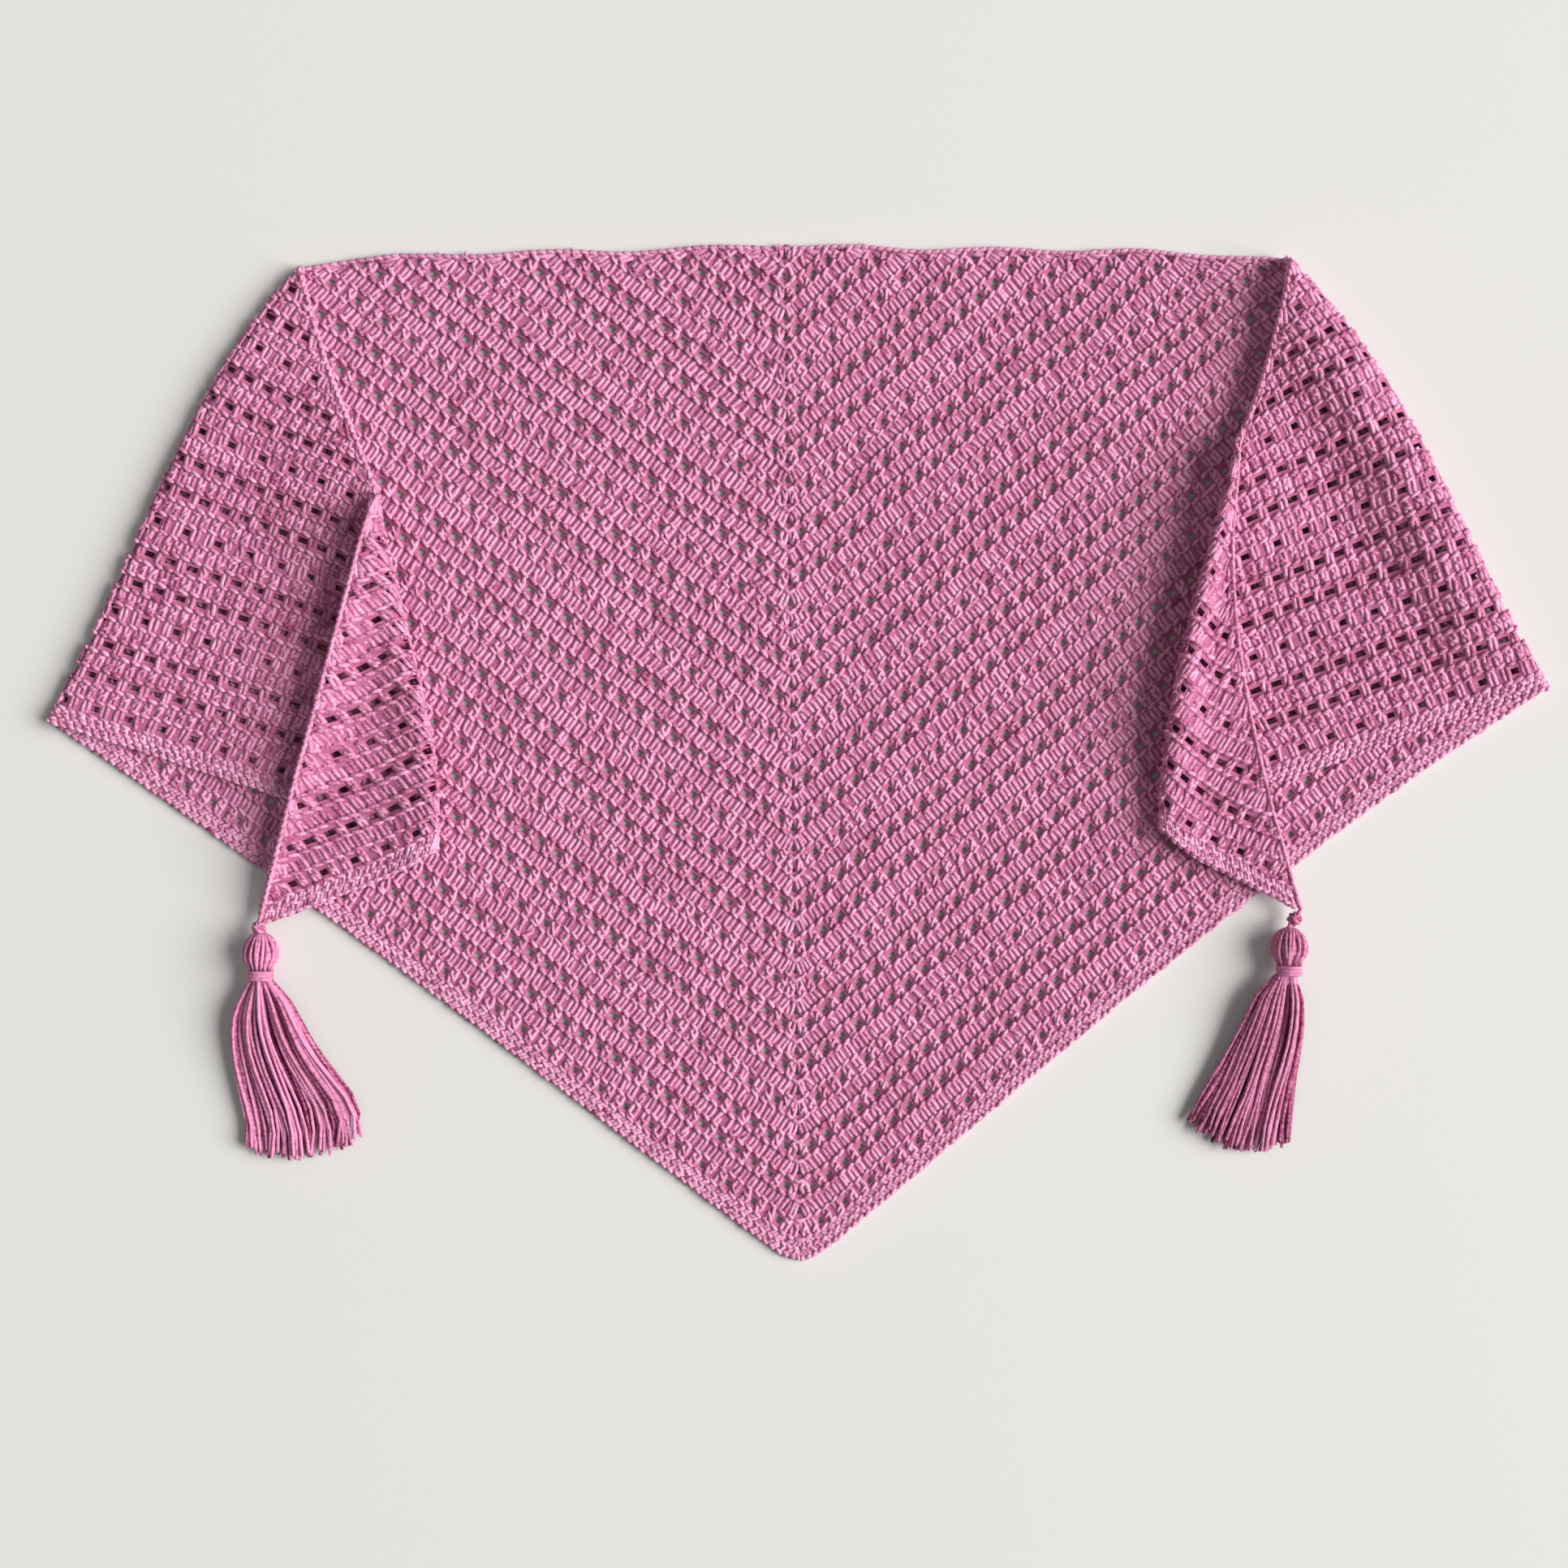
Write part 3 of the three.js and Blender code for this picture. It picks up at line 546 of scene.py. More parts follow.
def add_strands(bundle, cloth, table, path, radii, tone, rng):
    """Strands on the cloth. table has half, row and along for each, where its path starts from, and
    the path is in millimetres along the row, square to it and up."""
    tone = tone + rng.normal(0, TONE_SPREAD, len(table))
    local, faces, which, uv = strands(np.stack(path, axis=2), radii, 4, math.pi / 4)
    half, row, along = table[which, 0], table[which, 1], table[which, 2]
    along = along + local[:, 0] + local[:, 1] * ROW_SHEAR / ROW_STEP
    row, along = wobble(half, row + local[:, 1] / ROW_STEP, np.clip(along, 0.0, None))
    laid = cloth.surface(half, row, along, local[:, 2])
    # On the left half the local frame is a mirror image, so its faces are turned round.
    for block in faces:
        left = table[which[block[:, 0]], 0] < 0
        block[left] = block[left][:, ::-1]
    bundle.add(laid, faces, uv, tone[which])


def add_posts(bundle, cloth, posts, yarn, height, rng, shade=0.0):
    """The uprights: two strands that wind round each other, and a slanted wrap over them."""
    count = len(posts)
    half, row, head, width = posts.T
    row_foot = row + (1 - height)
    foot = foot_of(row_foot, head, row + 1)
    table = np.column_stack([half, row_foot, foot])
    tall = ROW_STEP * height
    lean = (head - foot - ROW_SHEAR * height)[:, None]
    front = np.where(row % 2 == 0, 1.0, -1.0)[:, None]
    wide = width[:, None]
    # shade is painted shade added to the tone, darker on the folded layers.
    tone = 1 + shade + rng.normal(0, 0.2, count)
    reach = yarn * POST_APART
    turn = rng.normal(0, 0.35, (count, 1)) + rng.normal(0.4, 0.85, (count, 1)) * (POST_UP - 0.5) * 1.6
    sway = rng.normal(0, 0.3, (2, count, 1))
    for n, side in enumerate((-1.0, 1.0)):
        apart = side * wide * reach * np.cos(turn)
        x = lean * POST_UP + apart + sway[n] * np.sin(np.pi * np.clip(POST_UP, 0, 1))
        y = np.broadcast_to(POST_UP * tall, x.shape)
        z = side * front * 0.5 * reach * np.sin(turn)
        radii = yarn * POST_SIZE * np.sqrt(width)[:, None]
        add_strands(bundle, cloth, table, (x, y, z), radii, tone, rng)
    x = lean * 0.5 + WRAP_ACROSS * yarn * WRAP_WIDTH * wide
    middle = tall * (0.5 + 0.12 * rng.normal(0, 1, (count, 1)))
    y = middle - WRAP_ACROSS * tall * rng.normal(0.16, 0.08, (count, 1))
    z = front * WRAP_RISE * yarn
    add_strands(bundle, cloth, table, (x, y, z), yarn * WRAP_SIZE, tone * 1.06, rng)


def add_links(bundle, cloth, links, yarn, pitch, rng, shade=0.0):
    """The chain along the top of each row: a slanted loop on each side of the cloth."""
    count = len(links)
    half, row, along, size = links.T
    size = size[:, None]
    table = np.column_stack([half, row + 1.0, along])
    # shade is painted shade added to the tone, darker on the folded layers.
    tone = 1 + shade + rng.normal(0, TONE_SPREAD, count)
    for side in (1.0, -1.0):
        x = LOOP_ALONG * pitch + rng.normal(0, 0.3, (count, 1))
        y = LOOP_ACROSS * side * size + rng.normal(0, 0.3, (count, 1))
        z = side * LOOP_RISE * yarn * np.where(size > 1, LOOP_HIGH, LOOP_LOW)
        radii = yarn * LOOP_SIZE * size
        add_strands(bundle, cloth, table, (x, y, z), radii, tone, rng)


def add_edge_loops(bundle, cloth, yarn, rng):
    """The turning loops along the top edge, at the ends of the rows."""
    centre = (np.arange(2, EDGE_LOOPS * ROWS - 1) + 0.5) / EDGE_LOOPS
    count = len(centre)
    for half in (-1.0, 1.0):
        for side in (1.0, -1.0):
            row = centre[:, None] + LOOP_ALONG * EDGE_LOOP_LENGTH / EDGE_LOOPS
            along = ROW_GROWTH * row - EDGE_LOOP_INSET - LOOP_ACROSS * side
            along = along + rng.normal(0, 0.12, (count, 1))
            height = np.broadcast_to(side * LOOP_RISE * yarn, row.shape)
            flat_row, flat_along = wobble(half, row.reshape(-1), np.clip(along.reshape(-1), 0.0, None))
            points = cloth.surface(np.full(row.size, half), flat_row, flat_along, height.reshape(-1))
            # Painted shade: the edge loops get a darker tone.
            tone = EDGE_LOOP_SHADED_TONE + rng.normal(0, 0.2, count)
            add_world_strands(bundle, points.reshape(*row.shape, 3), yarn, tone, 4)


# The ground behind the stitches.


def reach_in(cloth, levels, edges, pitch):
    """How far the edges between cells move into the open cell beside them, at each level."""
    cell = np.round(np.abs(edges) / pitch + 0.5)
    inset = np.zeros((len(levels), len(edges)))
    for line, level in enumerate(np.floor(levels).astype(int)):
        if line % len(ROW_LEVELS) and level < BODY_ROWS:
            before = open_cells(level, cell - 1) * (cell > 1)
            beside = open_cells(level, cell).astype(float) - before
            middle = np.full(len(edges), level + 0.5)
            folded = cloth.layer(np.sign(edges), middle, np.abs(edges)) > 0
            flat_reach, folded_reach = REACH_IN[pattern_of(level)]
            inset[line] = beside * np.where(folded, folded_reach, flat_reach) * pitch * (edges != 0)
    return inset


def sheet_triangles(index, reach):
    """Two triangles for each closed cell of a grid of corners, but none without width."""
    a, b = index[:-1, :-1], index[:-1, 1:]
    d, c = index[1:, :-1], index[1:, 1:]
    keep = np.ones(a.shape, bool)
    number = np.abs(np.arange(a.shape[1]) - reach + 0.5).astype(int)
    for row in range(BODY_ROWS):
        keep[row * len(ROW_LEVELS) + 1] = ~open_cells(row, number)
    a, b, c, d = (q[keep] for q in (a, b, c, d))
    triangles = np.concatenate([np.stack([a, c, b], 1), np.stack([a, d, c], 1)])
    a, b, c = triangles.T
    return triangles[(a != b) & (b != c) & (a != c)]


def close_sheet(triangles, total):
    """The triangles of both faces of a sheet, and the walls that join the two along its rims."""
    directed = np.concatenate([triangles[:, [0, 1]], triangles[:, [1, 2]], triangles[:, [2, 0]]])
    start, end = directed.astype(np.int64).T
    rim = directed[~np.isin(start * total + end, end * total + start)]
    walls = np.column_stack([rim[:, 1], rim[:, 0], rim[:, 0] + total, rim[:, 1] + total])
    return [np.concatenate([triangles, triangles[:, ::-1] + total]), walls]


def ground_mesh(name, cloth, pitch, thick):
    """The closed ground sheet, with its openings, from the spine to both ends and over the folds."""
    body = (np.arange(BODY_ROWS)[:, None] + ROW_LEVELS).reshape(-1)
    levels = np.concatenate([body, EDGE_LEVELS])
    reach = int(LOWER_EDGE / pitch) + 2
    between = (np.arange(1, reach + 1) - 0.5) * pitch
    edges = np.concatenate([-between[::-1], [0.0], between])
    limit = np.clip(ROW_GROWTH * levels - EDGE_INSET, 0.0, TIP_SHARE * LOWER_EDGE - EDGE_INSET)
    # A row's first corners are at the heads of the row before, the others part of the way to its own.
    rows = np.floor(levels)
    part = np.where(rows < BODY_ROWS, np.tile([1.0, *ROW_LEVELS[1:]], BODY_ROWS + 1), 1.0)
    rows, part = rows[:, None], part[:, None]
    head = np.abs(edges) + reach_in(cloth, levels, edges, pitch)
    foot = np.where(head > 0, foot_of(rows, head, rows + 1), 0.0)
    x = np.sign(edges) * np.minimum(foot + (head - foot) * part, limit[:, None])
    grid_row = np.broadcast_to(levels[:, None], x.shape)
    keys = np.round(np.stack([grid_row * 1000, x * 100], axis=2)).astype(np.int64).reshape(-1, 2)
    _, first, index = np.unique(keys, axis=0, return_index=True, return_inverse=True)
    flat_row, flat_x = grid_row.reshape(-1)[first], x.reshape(-1)[first]
    total = len(first)
    faces = close_sheet(sheet_triangles(index.reshape(x.shape), reach), total)
    half = np.where(flat_x < 0, -1.0, 1.0)
    row, along = wobble(half, flat_row, np.abs(flat_x))
    both = [cloth.surface(half, row, along, np.full(total, side * thick / 2)) for side in (1, -1)]
    uv = np.tile(np.column_stack([flat_x, flat_row * ROW_STEP]) * MM, (2, 1))
    return make_mesh(name, np.concatenate(both), faces, uv, np.ones(2 * total))


# Materials.


MIX_A, MIX_B, MIX_RESULT = 6, 7, 2  # the colour sockets of a Mix node
BUMP_DEPTH = 0.0004
# The noises in the yarn: scale, detail, and how much each lightens and darkens it.
YARN_NOISES = {"fibre": (900.0, 2.0, 0.5), "fleck": (330.0, 1.0, 1.15), "patch": (16.0, 2.0, 0.15)}
YARN_LIGHT = 0.78  # where plain yarn lies between its deep and its light colour
# The ply stripes are a painted highlight on each ply and painted shade between plies.
PLY_LIGHT = 0.2  # how much the plies lighten and darken it
PLY_TURNS, TASSEL_PLY_TURNS = 420.0, 300.0  # to the metre of a strand


class Wire:
    """A shader value, so that node maths is written as Python."""

    def __init__(self, graph, socket):
        self.graph, self.socket = graph, socket

    def _maths(self, operation, *values):
        node = self.graph.node("ShaderNodeMath", {"operation": operation}, *values)
        return Wire(self.graph, node.outputs[0])

    def __add__(self, other):
        return self._maths("ADD", self, other)

    def __sub__(self, other):
        return self._maths("SUBTRACT", self, other)

    def __rsub__(self, other):
        return self._maths("SUBTRACT", other, self)

    def __mul__(self, other):
        return self._maths("MULTIPLY", self, other)

    def sin(self):
        return self._maths("SINE", self)

    def clamp(self):
        return self._maths("MINIMUM", self._maths("MAXIMUM", self, 0.0), 1.0)

    __radd__ = __add__
    __rmul__ = __mul__


class Graph:
    """The nodes of one material."""

    def __init__(self, name, **finish):
        self.material = bpy.data.materials.new(name)
        self.material.use_nodes = True
        self.tree = self.material.node_tree
        self.shader = self.tree.nodes["Principled BSDF"]
        for key, value in finish.items():
            self.shader.inputs[key.replace("_", " ")].default_value = value

    def node(self, kind, settings=None, *values, **named):
        """A new node with its settings, then the values or wires of its sockets."""
        made = self.tree.nodes.new(kind)
        for key, value in (settings or {}).items():
            setattr(made, key, value)
        sockets = list(zip(made.inputs, values))
        sockets += [(made.inputs[key.replace("_", " ")], value) for key, value in named.items()]
        for socket, value in sockets:
            if isinstance(value, Wire):
                self.tree.links.new(value.socket, socket)
            else:
                socket.default_value = value
        return made

    def wire(self, kind, settings=None, *values, output=0, **named):
        return Wire(self, self.node(kind, settings, *values, **named).outputs[output])

    def connect(self, wire, socket):
        self.tree.links.new(wire.socket, self.shader.inputs[socket])

    def place(self):
        """Object coordinates."""
        return self.wire("ShaderNodeTexCoord", None, output=3)

    def blend(self, share, low, high):
        """A base colour between two colours."""
        mix = self.node("ShaderNodeMix", {"data_type": "RGBA"}, share)
        mix.inputs[MIX_A].default_value = (*low, 1)
        mix.inputs[MIX_B].default_value = (*high, 1)
        self.connect(Wire(self, mix.outputs[MIX_RESULT]), "Base Color")

    def emboss(self, height, strength):
        bump = self.wire("ShaderNodeBump", None, Strength=strength, Distance=BUMP_DEPTH, Height=height)
        self.connect(bump, "Normal")


def yarn_material(name, colour, deep, ply_turns, roughness=0.92, spread=0.55):
    """Plied wool: a tone for each stitch, plies that wind round the strand, fibre and flecks."""
    graph = Graph(
        name, Roughness=roughness, Sheen_Weight=0.1, Sheen_Roughness=0.5, Specular_IOR_Level=0.15
    )
    uv = graph.wire("ShaderNodeUVMap", {"uv_map": "UVMap"})
    split = graph.node("ShaderNodeSeparateXYZ", None, uv)
    around, along = Wire(graph, split.outputs[0]), Wire(graph, split.outputs[1])
    ply = ((around * 2 + along * ply_turns) * (2 * math.pi)).sin() * 0.5 + 0.5
    tone = graph.wire("ShaderNodeAttribute", {"attribute_name": "tone"}, output=2)
    place = graph.place()
    # The ply term adds a painted highlight and painted shade along each strand.
    light = (tone - 1) * spread + YARN_LIGHT + (ply - 0.5) * PLY_LIGHT
    noises = {}
    for key, (scale, detail, amount) in YARN_NOISES.items():
        noises[key] = graph.wire("ShaderNodeTexNoise", None, place, Scale=scale, Detail=detail)
        light = light + (noises[key] - 0.5) * amount
    graph.blend(light.clamp(), deep, colour)
    graph.emboss(ply * 0.6 + noises["fibre"] * 0.6, 0.25)
    return graph.material


def plain_material(name, colour, roughness, grain=0.0):
    """One colour, darkened by a share of itself in spots if it has a grain."""
    graph = Graph(name, Roughness=roughness, Base_Color=(*colour, 1), Specular_IOR_Level=0.2)
    if grain:
        noise = graph.wire("ShaderNodeTexNoise", None, graph.place(), Scale=420.0, Detail=3.0)
        graph.blend((noise * 1.4 - 0.2).clamp(), [part * (1 - grain) for part in colour], colour)
        graph.emboss(noise, 0.4)
    return graph.material


# Tassels.


SKIRT_STEPS = 12
SKIRT_FALL = 1.5  # a power that sets a strand's points closer near the neck
# The deep strands between the locks get painted shade.
LOCKS = 12  # the strands of a skirt gather in these, with deep ones between
TASSEL_NECK = 18.5  # from the middle of a tassel's head to the top of its skirt
HEAD_HEIGHT, SKIRT_HEIGHT = 12.5, 6.6  # of the middle of the head, and of the skirt where it is cut
SKIRT_DEPTH = (7.0, 5.0)  # from its middle to its top strands, at the neck and where it is cut
SKIRT_BULGE, BULGE_END = 2.0, 0.45  # how much deeper it is below the neck, and where that ends
HEAD_STRANDS = 24
HEAD_RADIUS, HEAD_TOP, HEAD_FOOT = 11.4, 13.6, 11.4  # across, and from its middle up and down
NECK_RADIUS, NECK_FOOT = 6.6, 14.0
# The core of the head, from its top to inside the skirt: places up from its middle, and radii.
CORE_UP = (13, 10.5, 4, -3, -9, -13, -18, -24, -28)
CORE_SIZE = (5.0, 9.6, 10.6, 7.2, 5.6, 5.6, 6.0)
ROUND = 2 * np.pi * 1.06  # a turn of yarn whose end laps over its start
WRAPS, WRAP_TOP, WRAP_STEP, WRAP_TILT = 3, 12.6, 2.2, 1.4  # rounds of the binding below the head
WRAP_RADIUS, WRAP_YARN = 7.9, 1.35
CORD_ENDS = (0.93, 0.985)  # the cord lies on the end from here to here, as shares of its length
CORD_TOP, CORD_FOOT = (0, 13.0, 0), (0, 5.0, 0)  # where it meets the head and where it ends in it
CORD_YARN, CORD_SPREAD, CORD_TURN = 1.5, 1.2, 4  # yarn radius, how far apart, and how they wind
KNOT_RADIUS, KNOT_YARN = 3.9, 1.6


def tassel_strands(tassel, count, yarn, rng):
    """Loose strands that leave the neck together and fan out, lying on one another."""
    u = np.sort(rng.uniform(-1, 1, count))
    lock = np.sin(LOCKS * np.pi * u)
    depth = 0.6 * rng.uniform(-1, 1, count) + 0.4 * lock
    t = np.linspace(0, 1, SKIRT_STEPS) ** SKIRT_FALL
    marks = np.linspace(0, 1, len(tassel["fall"][0]))
    left, right = (np.interp(t, marks, edge) for edge in tassel["fall"])
    left, right = left + yarn, right - yarn
    drift = rng.normal(0, 0.06, (count, 1)) * t + rng.normal(0, 0.06, (count, 1)) * t**2
    phase = t * rng.uniform(1.5, 3.5, (count, 1)) + rng.uniform(0, 2, (count, 1))
    wave = 0.05 * np.sin(np.pi * phase) * t
    across = np.clip(u[:, None] + drift + wave, -1.04, 1.04)
    x = tassel["head"][0] + (left + right) / 2 + across * (right - left) / 2
    trim = through_three(tassel["cut"], (u + 1) / 2) - rng.uniform(0, 5, count)
    y = tassel["head"][1] - TASSEL_NECK - t * trim[:, None]
    dome = np.sqrt(np.clip(1 - 0.85 * across**2, 0, 1))
    down = smooth(t)
    z = between(HEAD_HEIGHT, SKIRT_HEIGHT, down) + depth[:, None] * dome * between(*SKIRT_DEPTH, down)
    z = z + SKIRT_BULGE * np.sin(np.pi * np.clip(t / BULGE_END, 0, 1)) * depth[:, None]
    z = np.clip(z + rng.normal(0, 0.5, (count, 1)) * t, yarn * 1.05, None)
    paths = np.stack([x - CAD_CENTRE[0], y - CAD_CENTRE[1], z], axis=2)
    start = paths[:, 0] + (paths[:, 0] - paths[:, 1]) * 0.2
    ends = paths[:, -1] + (paths[:, -1] - paths[:, -2]) * 0.06
    # Painted shade: strands lower in the pile, and those between the locks, get a darker tone.
    tone = 0.62 + tassel["shade"] + 0.3 * depth + 0.35 * lock + rng.normal(0, 0.3, count)
    return np.concatenate([start[:, None], paths, ends[:, None]], axis=1), tone


def head_strands(head, rng):
    """Strands that run over a ball from its top to the neck."""
    count = HEAD_STRANDS
    angle = np.linspace(0, 2 * np.pi, count, endpoint=False) + rng.normal(0, 0.05, count)
    fall = np.linspace(-0.02, 1.0, 11)
    polar = np.pi * (0.02 + 0.80 * fall)
    ball = np.maximum(HEAD_RADIUS * np.sin(polar), np.where(fall > 0.5, NECK_RADIUS, 0.0))
    ball = ball * (1 + rng.normal(0, 0.03, (count, 1)))
    up = np.where(fall < 0.6, HEAD_TOP, HEAD_FOOT) * np.cos(polar)
    up = np.where(fall > 0.93, -NECK_FOOT, up)
    angle = angle[:, None] + (0.25 + rng.normal(0, 0.16, (count, 1))) * fall
    y = np.broadcast_to(head[1] + up, angle.shape)
    return np.stack([head[0] + ball * np.cos(angle), y, head[2] + ball * np.sin(angle)], axis=2)


def binding_rounds(head):
    """The rounds of yarn that bind the neck."""
    angle = np.linspace(0, ROUND, 22)
    x, z = head[0] + WRAP_RADIUS * np.cos(angle), head[2] + WRAP_RADIUS * np.sin(angle)
    tilt = WRAP_TILT * (angle / (2 * np.pi) - 0.5)
    tops = [head[1] - WRAP_TOP - WRAP_STEP * n for n in range(WRAPS)]
    return np.array([np.stack([x, top + tilt, z], axis=1) for top in tops])


def cord_lines(way):
    """Three cords that wind round each other along a way of a few points."""
    t = np.linspace(0, 1, 9)
    line = np.column_stack([np.interp(t, np.linspace(0, 1, len(way)), way[:, k]) for k in range(3)])
    lines = []
    for n in range(3):
        swing = np.array([math.cos(2.1 * n), 0, math.sin(2.1 * n)]) * CORD_SPREAD
        lines.append(line + swing * np.cos(CORD_TURN * t + n)[:, None])
    return np.array(lines)


def knot_rounds(middle):
    """Four rounds of yarn about the middle of a knot, each at its own slant."""
    angle = np.linspace(0, ROUND, 16)[:, None]
    rounds = []
    for n in range(4):
        across = np.array([math.cos(0.8 * n), math.sin(0.8 * n), 0.35])
        over = np.array([-0.3 * math.sin(n), 0.3 * math.cos(n), 0.9])
        rounds.append(middle + KNOT_RADIUS * (np.cos(angle) * across + np.sin(angle) * over))
    return np.array(rounds)


def rested(paths):
    """Paths raised to where their strands lie on the surface."""
    paths[..., 2] = np.maximum(paths[..., 2], KNOT_YARN)
    return paths


# Properties and operators.


def length(name, description, default):
    return FloatProperty(name=name, description=description, default=default, unit="LENGTH")


def colour(name, description, default):
    return FloatVectorProperty(name=name, description=description, subtype="COLOR", default=default)


class ShawlSizes(bpy.types.PropertyGroup):
    stitch: length("Stitch", "Width of one stitch", 0.0073)
    yarn: length("Yarn radius", "Radius of the strand in a stitch", 0.0016)
    ground: length("Ground", "Thickness behind the stitches", 0.0014)
    level: length("Level", "Height of the middle of the cloth", 0.0027)
    layer: length("Layer step", "From one layer to the next", 0.0042)
    tip_gap: length("Tip gap", "More room under the ends", 0.0007)
    strand: length("Strand radius", "Radius of a tassel strand", 0.0012)
    strands: IntProperty(
        name="Strands", description="Strands in each tassel", default=120, min=20, max=120
    )


class ShawlColours(bpy.types.PropertyGroup):
    # The yarn's colour runs from deep to yarn: deep is partly random tone, partly painted shade between
    # plies and fibres.
    yarn: colour("Yarn", "Light side of the yarn", (0.89, 0.42, 0.64))
    deep: colour("Deep", "Between the fibres", (0.36, 0.055, 0.165))
    edging: colour("Edging", "Edging yarn", (0.91, 0.455, 0.675))
    # The ground is darker than the yarn: painted shade in the gaps between the stitches.
    ground: colour("Ground", "Behind the stitches", (0.58, 0.17, 0.33))
    # The tassel colour runs from tassel_deep to tassel: tassel_deep is partly random tone, partly
    # painted shade between strands.
    tassel: colour("Tassel", "Light side of the tassels", (0.86, 0.34, 0.57))
    tassel_deep: colour("Tassel deep", "Between tassel fibres", (0.22, 0.02, 0.08))
    floor: colour("Floor", "Floor", (0.78, 0.775, 0.76))


def sizes():
    return bpy.context.scene.shawl_sizes


def colours():
    return bpy.context.scene.shawl_colours


def the_cloth():
    s = sizes()
    return Cloth((s.level / MM, s.layer / MM, s.tip_gap / MM))


def cloth_and_yarn():
    """The cloth, the width of a stitch and the radius of the yarn."""
    s = sizes()
    return the_cloth(), s.stitch / MM, s.yarn / MM


def cloth_yarn():
    """The yarn of the body, made once for all its pieces."""
    c = colours()
    made = bpy.data.materials.get("cloth_yarn")
    return made or yarn_material("cloth_yarn", c.yarn, c.deep, PLY_TURNS)


def finish_piece(obj, material):
    obj.data.materials.append(material)
    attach(obj, "root")
    return obj


def tassel_piece(name, material, *parts):
    """A piece made of strands, given for each part as paths, radii, tones and perhaps sides."""
    bundle = Bundle()
    for part in parts:
        add_world_strands(bundle, *part)
    return finish_piece(bundle.make(name), material)


# Painted shade: the folded layers are darkened in tone, more for each layer up.
LAYER_PAINTED_SHADE = (0.0, -0.25, -0.33)  # what is added to the tone of each layer, from the surface up
# Each piece of stitches: its half, its layer, its first row and the row after its last.
REGIONS = (
    ("back_left_upper", -1, 0, 0, 32), ("back_left_lower", -1, 0, 32, 49),
    ("back_right_upper", 1, 0, 0, 32), ("back_right_lower", 1, 0, 32, 49),
    ("wing_left", -1, 1, 0, 49), ("wing_right", 1, 1, 0, 49),
    ("tip_left", -1, 2, 0, 49), ("tip_right", 1, 2, 0, 49),
)


def in_region(table, layers, half, layer, first, last):
    """The lines of a table that lie in one half and layer, from the first row to before the last."""
    row = table[:, 1]
    return table[(table[:, 0] == half) & (layers == layer) & (row >= first) & (row < last)]


class OBJECT_OT_shawl_stitches(bpy.types.Operator):
    """Every stitch of the body, in one piece for each stretch of the cloth"""

    bl_idname = "object.shawl_stitches"
    bl_label = "Stitches"

    def execute(self, context):
        cloth, pitch, yarn = cloth_and_yarn()
        rng = np.random.default_rng(4)
        posts, links = stitch_tables(pitch)
        half, row, along, _ = posts.T
        post_layer = cloth.layer(half, row + 0.5, along - ROW_SHEAR / 2)
        half, row, along, _ = links.T
        link_layer = cloth.layer(half, row + 1.0, along)
        posts[post_layer > 0, 3] = 1.0  # folded over, the stitches beside openings are no wider
        for name, *region in REGIONS:
            bundle = Bundle()
            # The folded layers get painted shade, a darker tone for their stitches.
            shade = LAYER_PAINTED_SHADE[region[1]]
            add_posts(bundle, cloth, in_region(posts, post_layer, *region), yarn, 1.0, rng, shade)
            add_links(bundle, cloth, in_region(links, link_layer, *region), yarn, pitch, rng, shade)
            finish_piece(bundle.make(name + "_stitches"), cloth_yarn())
        return {"FINISHED"}


class OBJECT_OT_shawl_spine(bpy.types.Operator):
    """The chain spaces that turn each row at the spine, and the turning loops of the top edge"""

    bl_idname = "object.shawl_spine"
    bl_label = "Spine and top edge"

    def execute(self, context):
        cloth, pitch, yarn = cloth_and_yarn()
        rng = np.random.default_rng(9)
        rows = np.arange(1, BODY_ROWS + 1, dtype=float)
        count = len(rows)
        bundle = Bundle()
        for side in (1.0, -1.0):
            height = np.full(count, side * yarn * SPINE_RISE)
            points = []
            for x in SPINE_ACROSS * pitch:
                half = np.full(count, -1.0 if x < 0 else 1.0)
                points.append(cloth.surface(half, rows + 0.02, np.full(count, abs(x)), height))
            tone = 1 + rng.normal(0, 0.06, count)
            add_world_strands(bundle, np.stack(points, axis=1), yarn * SPINE_SIZE, tone, 4)
        add_edge_loops(bundle, cloth, yarn, rng)
        finish_piece(bundle.make("spine_and_top_edge"), cloth_yarn())
        return {"FINISHED"}


class OBJECT_OT_shawl_edging(bpy.types.Operator):
    """Two short rows of dense stitches along both lower edges"""

    bl_idname = "object.shawl_edging"
    bl_label = "Edging"

    def execute(self, context):
        c = colours()
        cloth, pitch, yarn = cloth_and_yarn()
        pitch = pitch * EDGING_PITCH
        rng = np.random.default_rng(21)
        bundle = Bundle()
        for level, start in EDGING_ROWS:
            last = int(ROW_GROWTH * level / pitch)
            half = np.repeat([-1.0, 1.0], last)
            row = np.full(2 * last, level - 1)
            along = (np.tile(np.arange(last), 2) + start) * pitch
            posts = np.column_stack([half, row, along, np.full(2 * last, EDGING_WIDTH)])
            add_posts(bundle, cloth, posts, yarn * EDGING_SIZE, 0.5, rng)
            links = np.column_stack([half, row, along, np.ones(2 * last)])
            add_links(bundle, cloth, links, yarn, pitch, rng)
        material = yarn_material("edging_yarn", c.edging, c.deep, PLY_TURNS)
        finish_piece(bundle.make("edging_stitches"), material)
        return {"FINISHED"}


class OBJECT_OT_shawl_ground(bpy.types.Operator):
    """The thin sheet behind the stitches, one piece from end to end over all the folds"""

    bl_idname = "object.shawl_ground"
    bl_label = "Ground"

    def execute(self, context):
        cloth, pitch, _ = cloth_and_yarn()
        obj = ground_mesh("shawl_ground", cloth, pitch, sizes().ground / MM)
        # The ground's colour is painted shade between the stitches; its grain is spots of random tone.
        finish_piece(obj, plain_material("ground_shade_and_grain", colours().ground, 0.95, 0.35))
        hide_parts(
            "back_panel", "left_wing", "right_wing", "left_tip", "right_tip", "back_edging",
            "left_wing_edging", "right_wing_edging", "left_tip_edging", "right_tip_edging",
        )
        return {"FINISHED"}


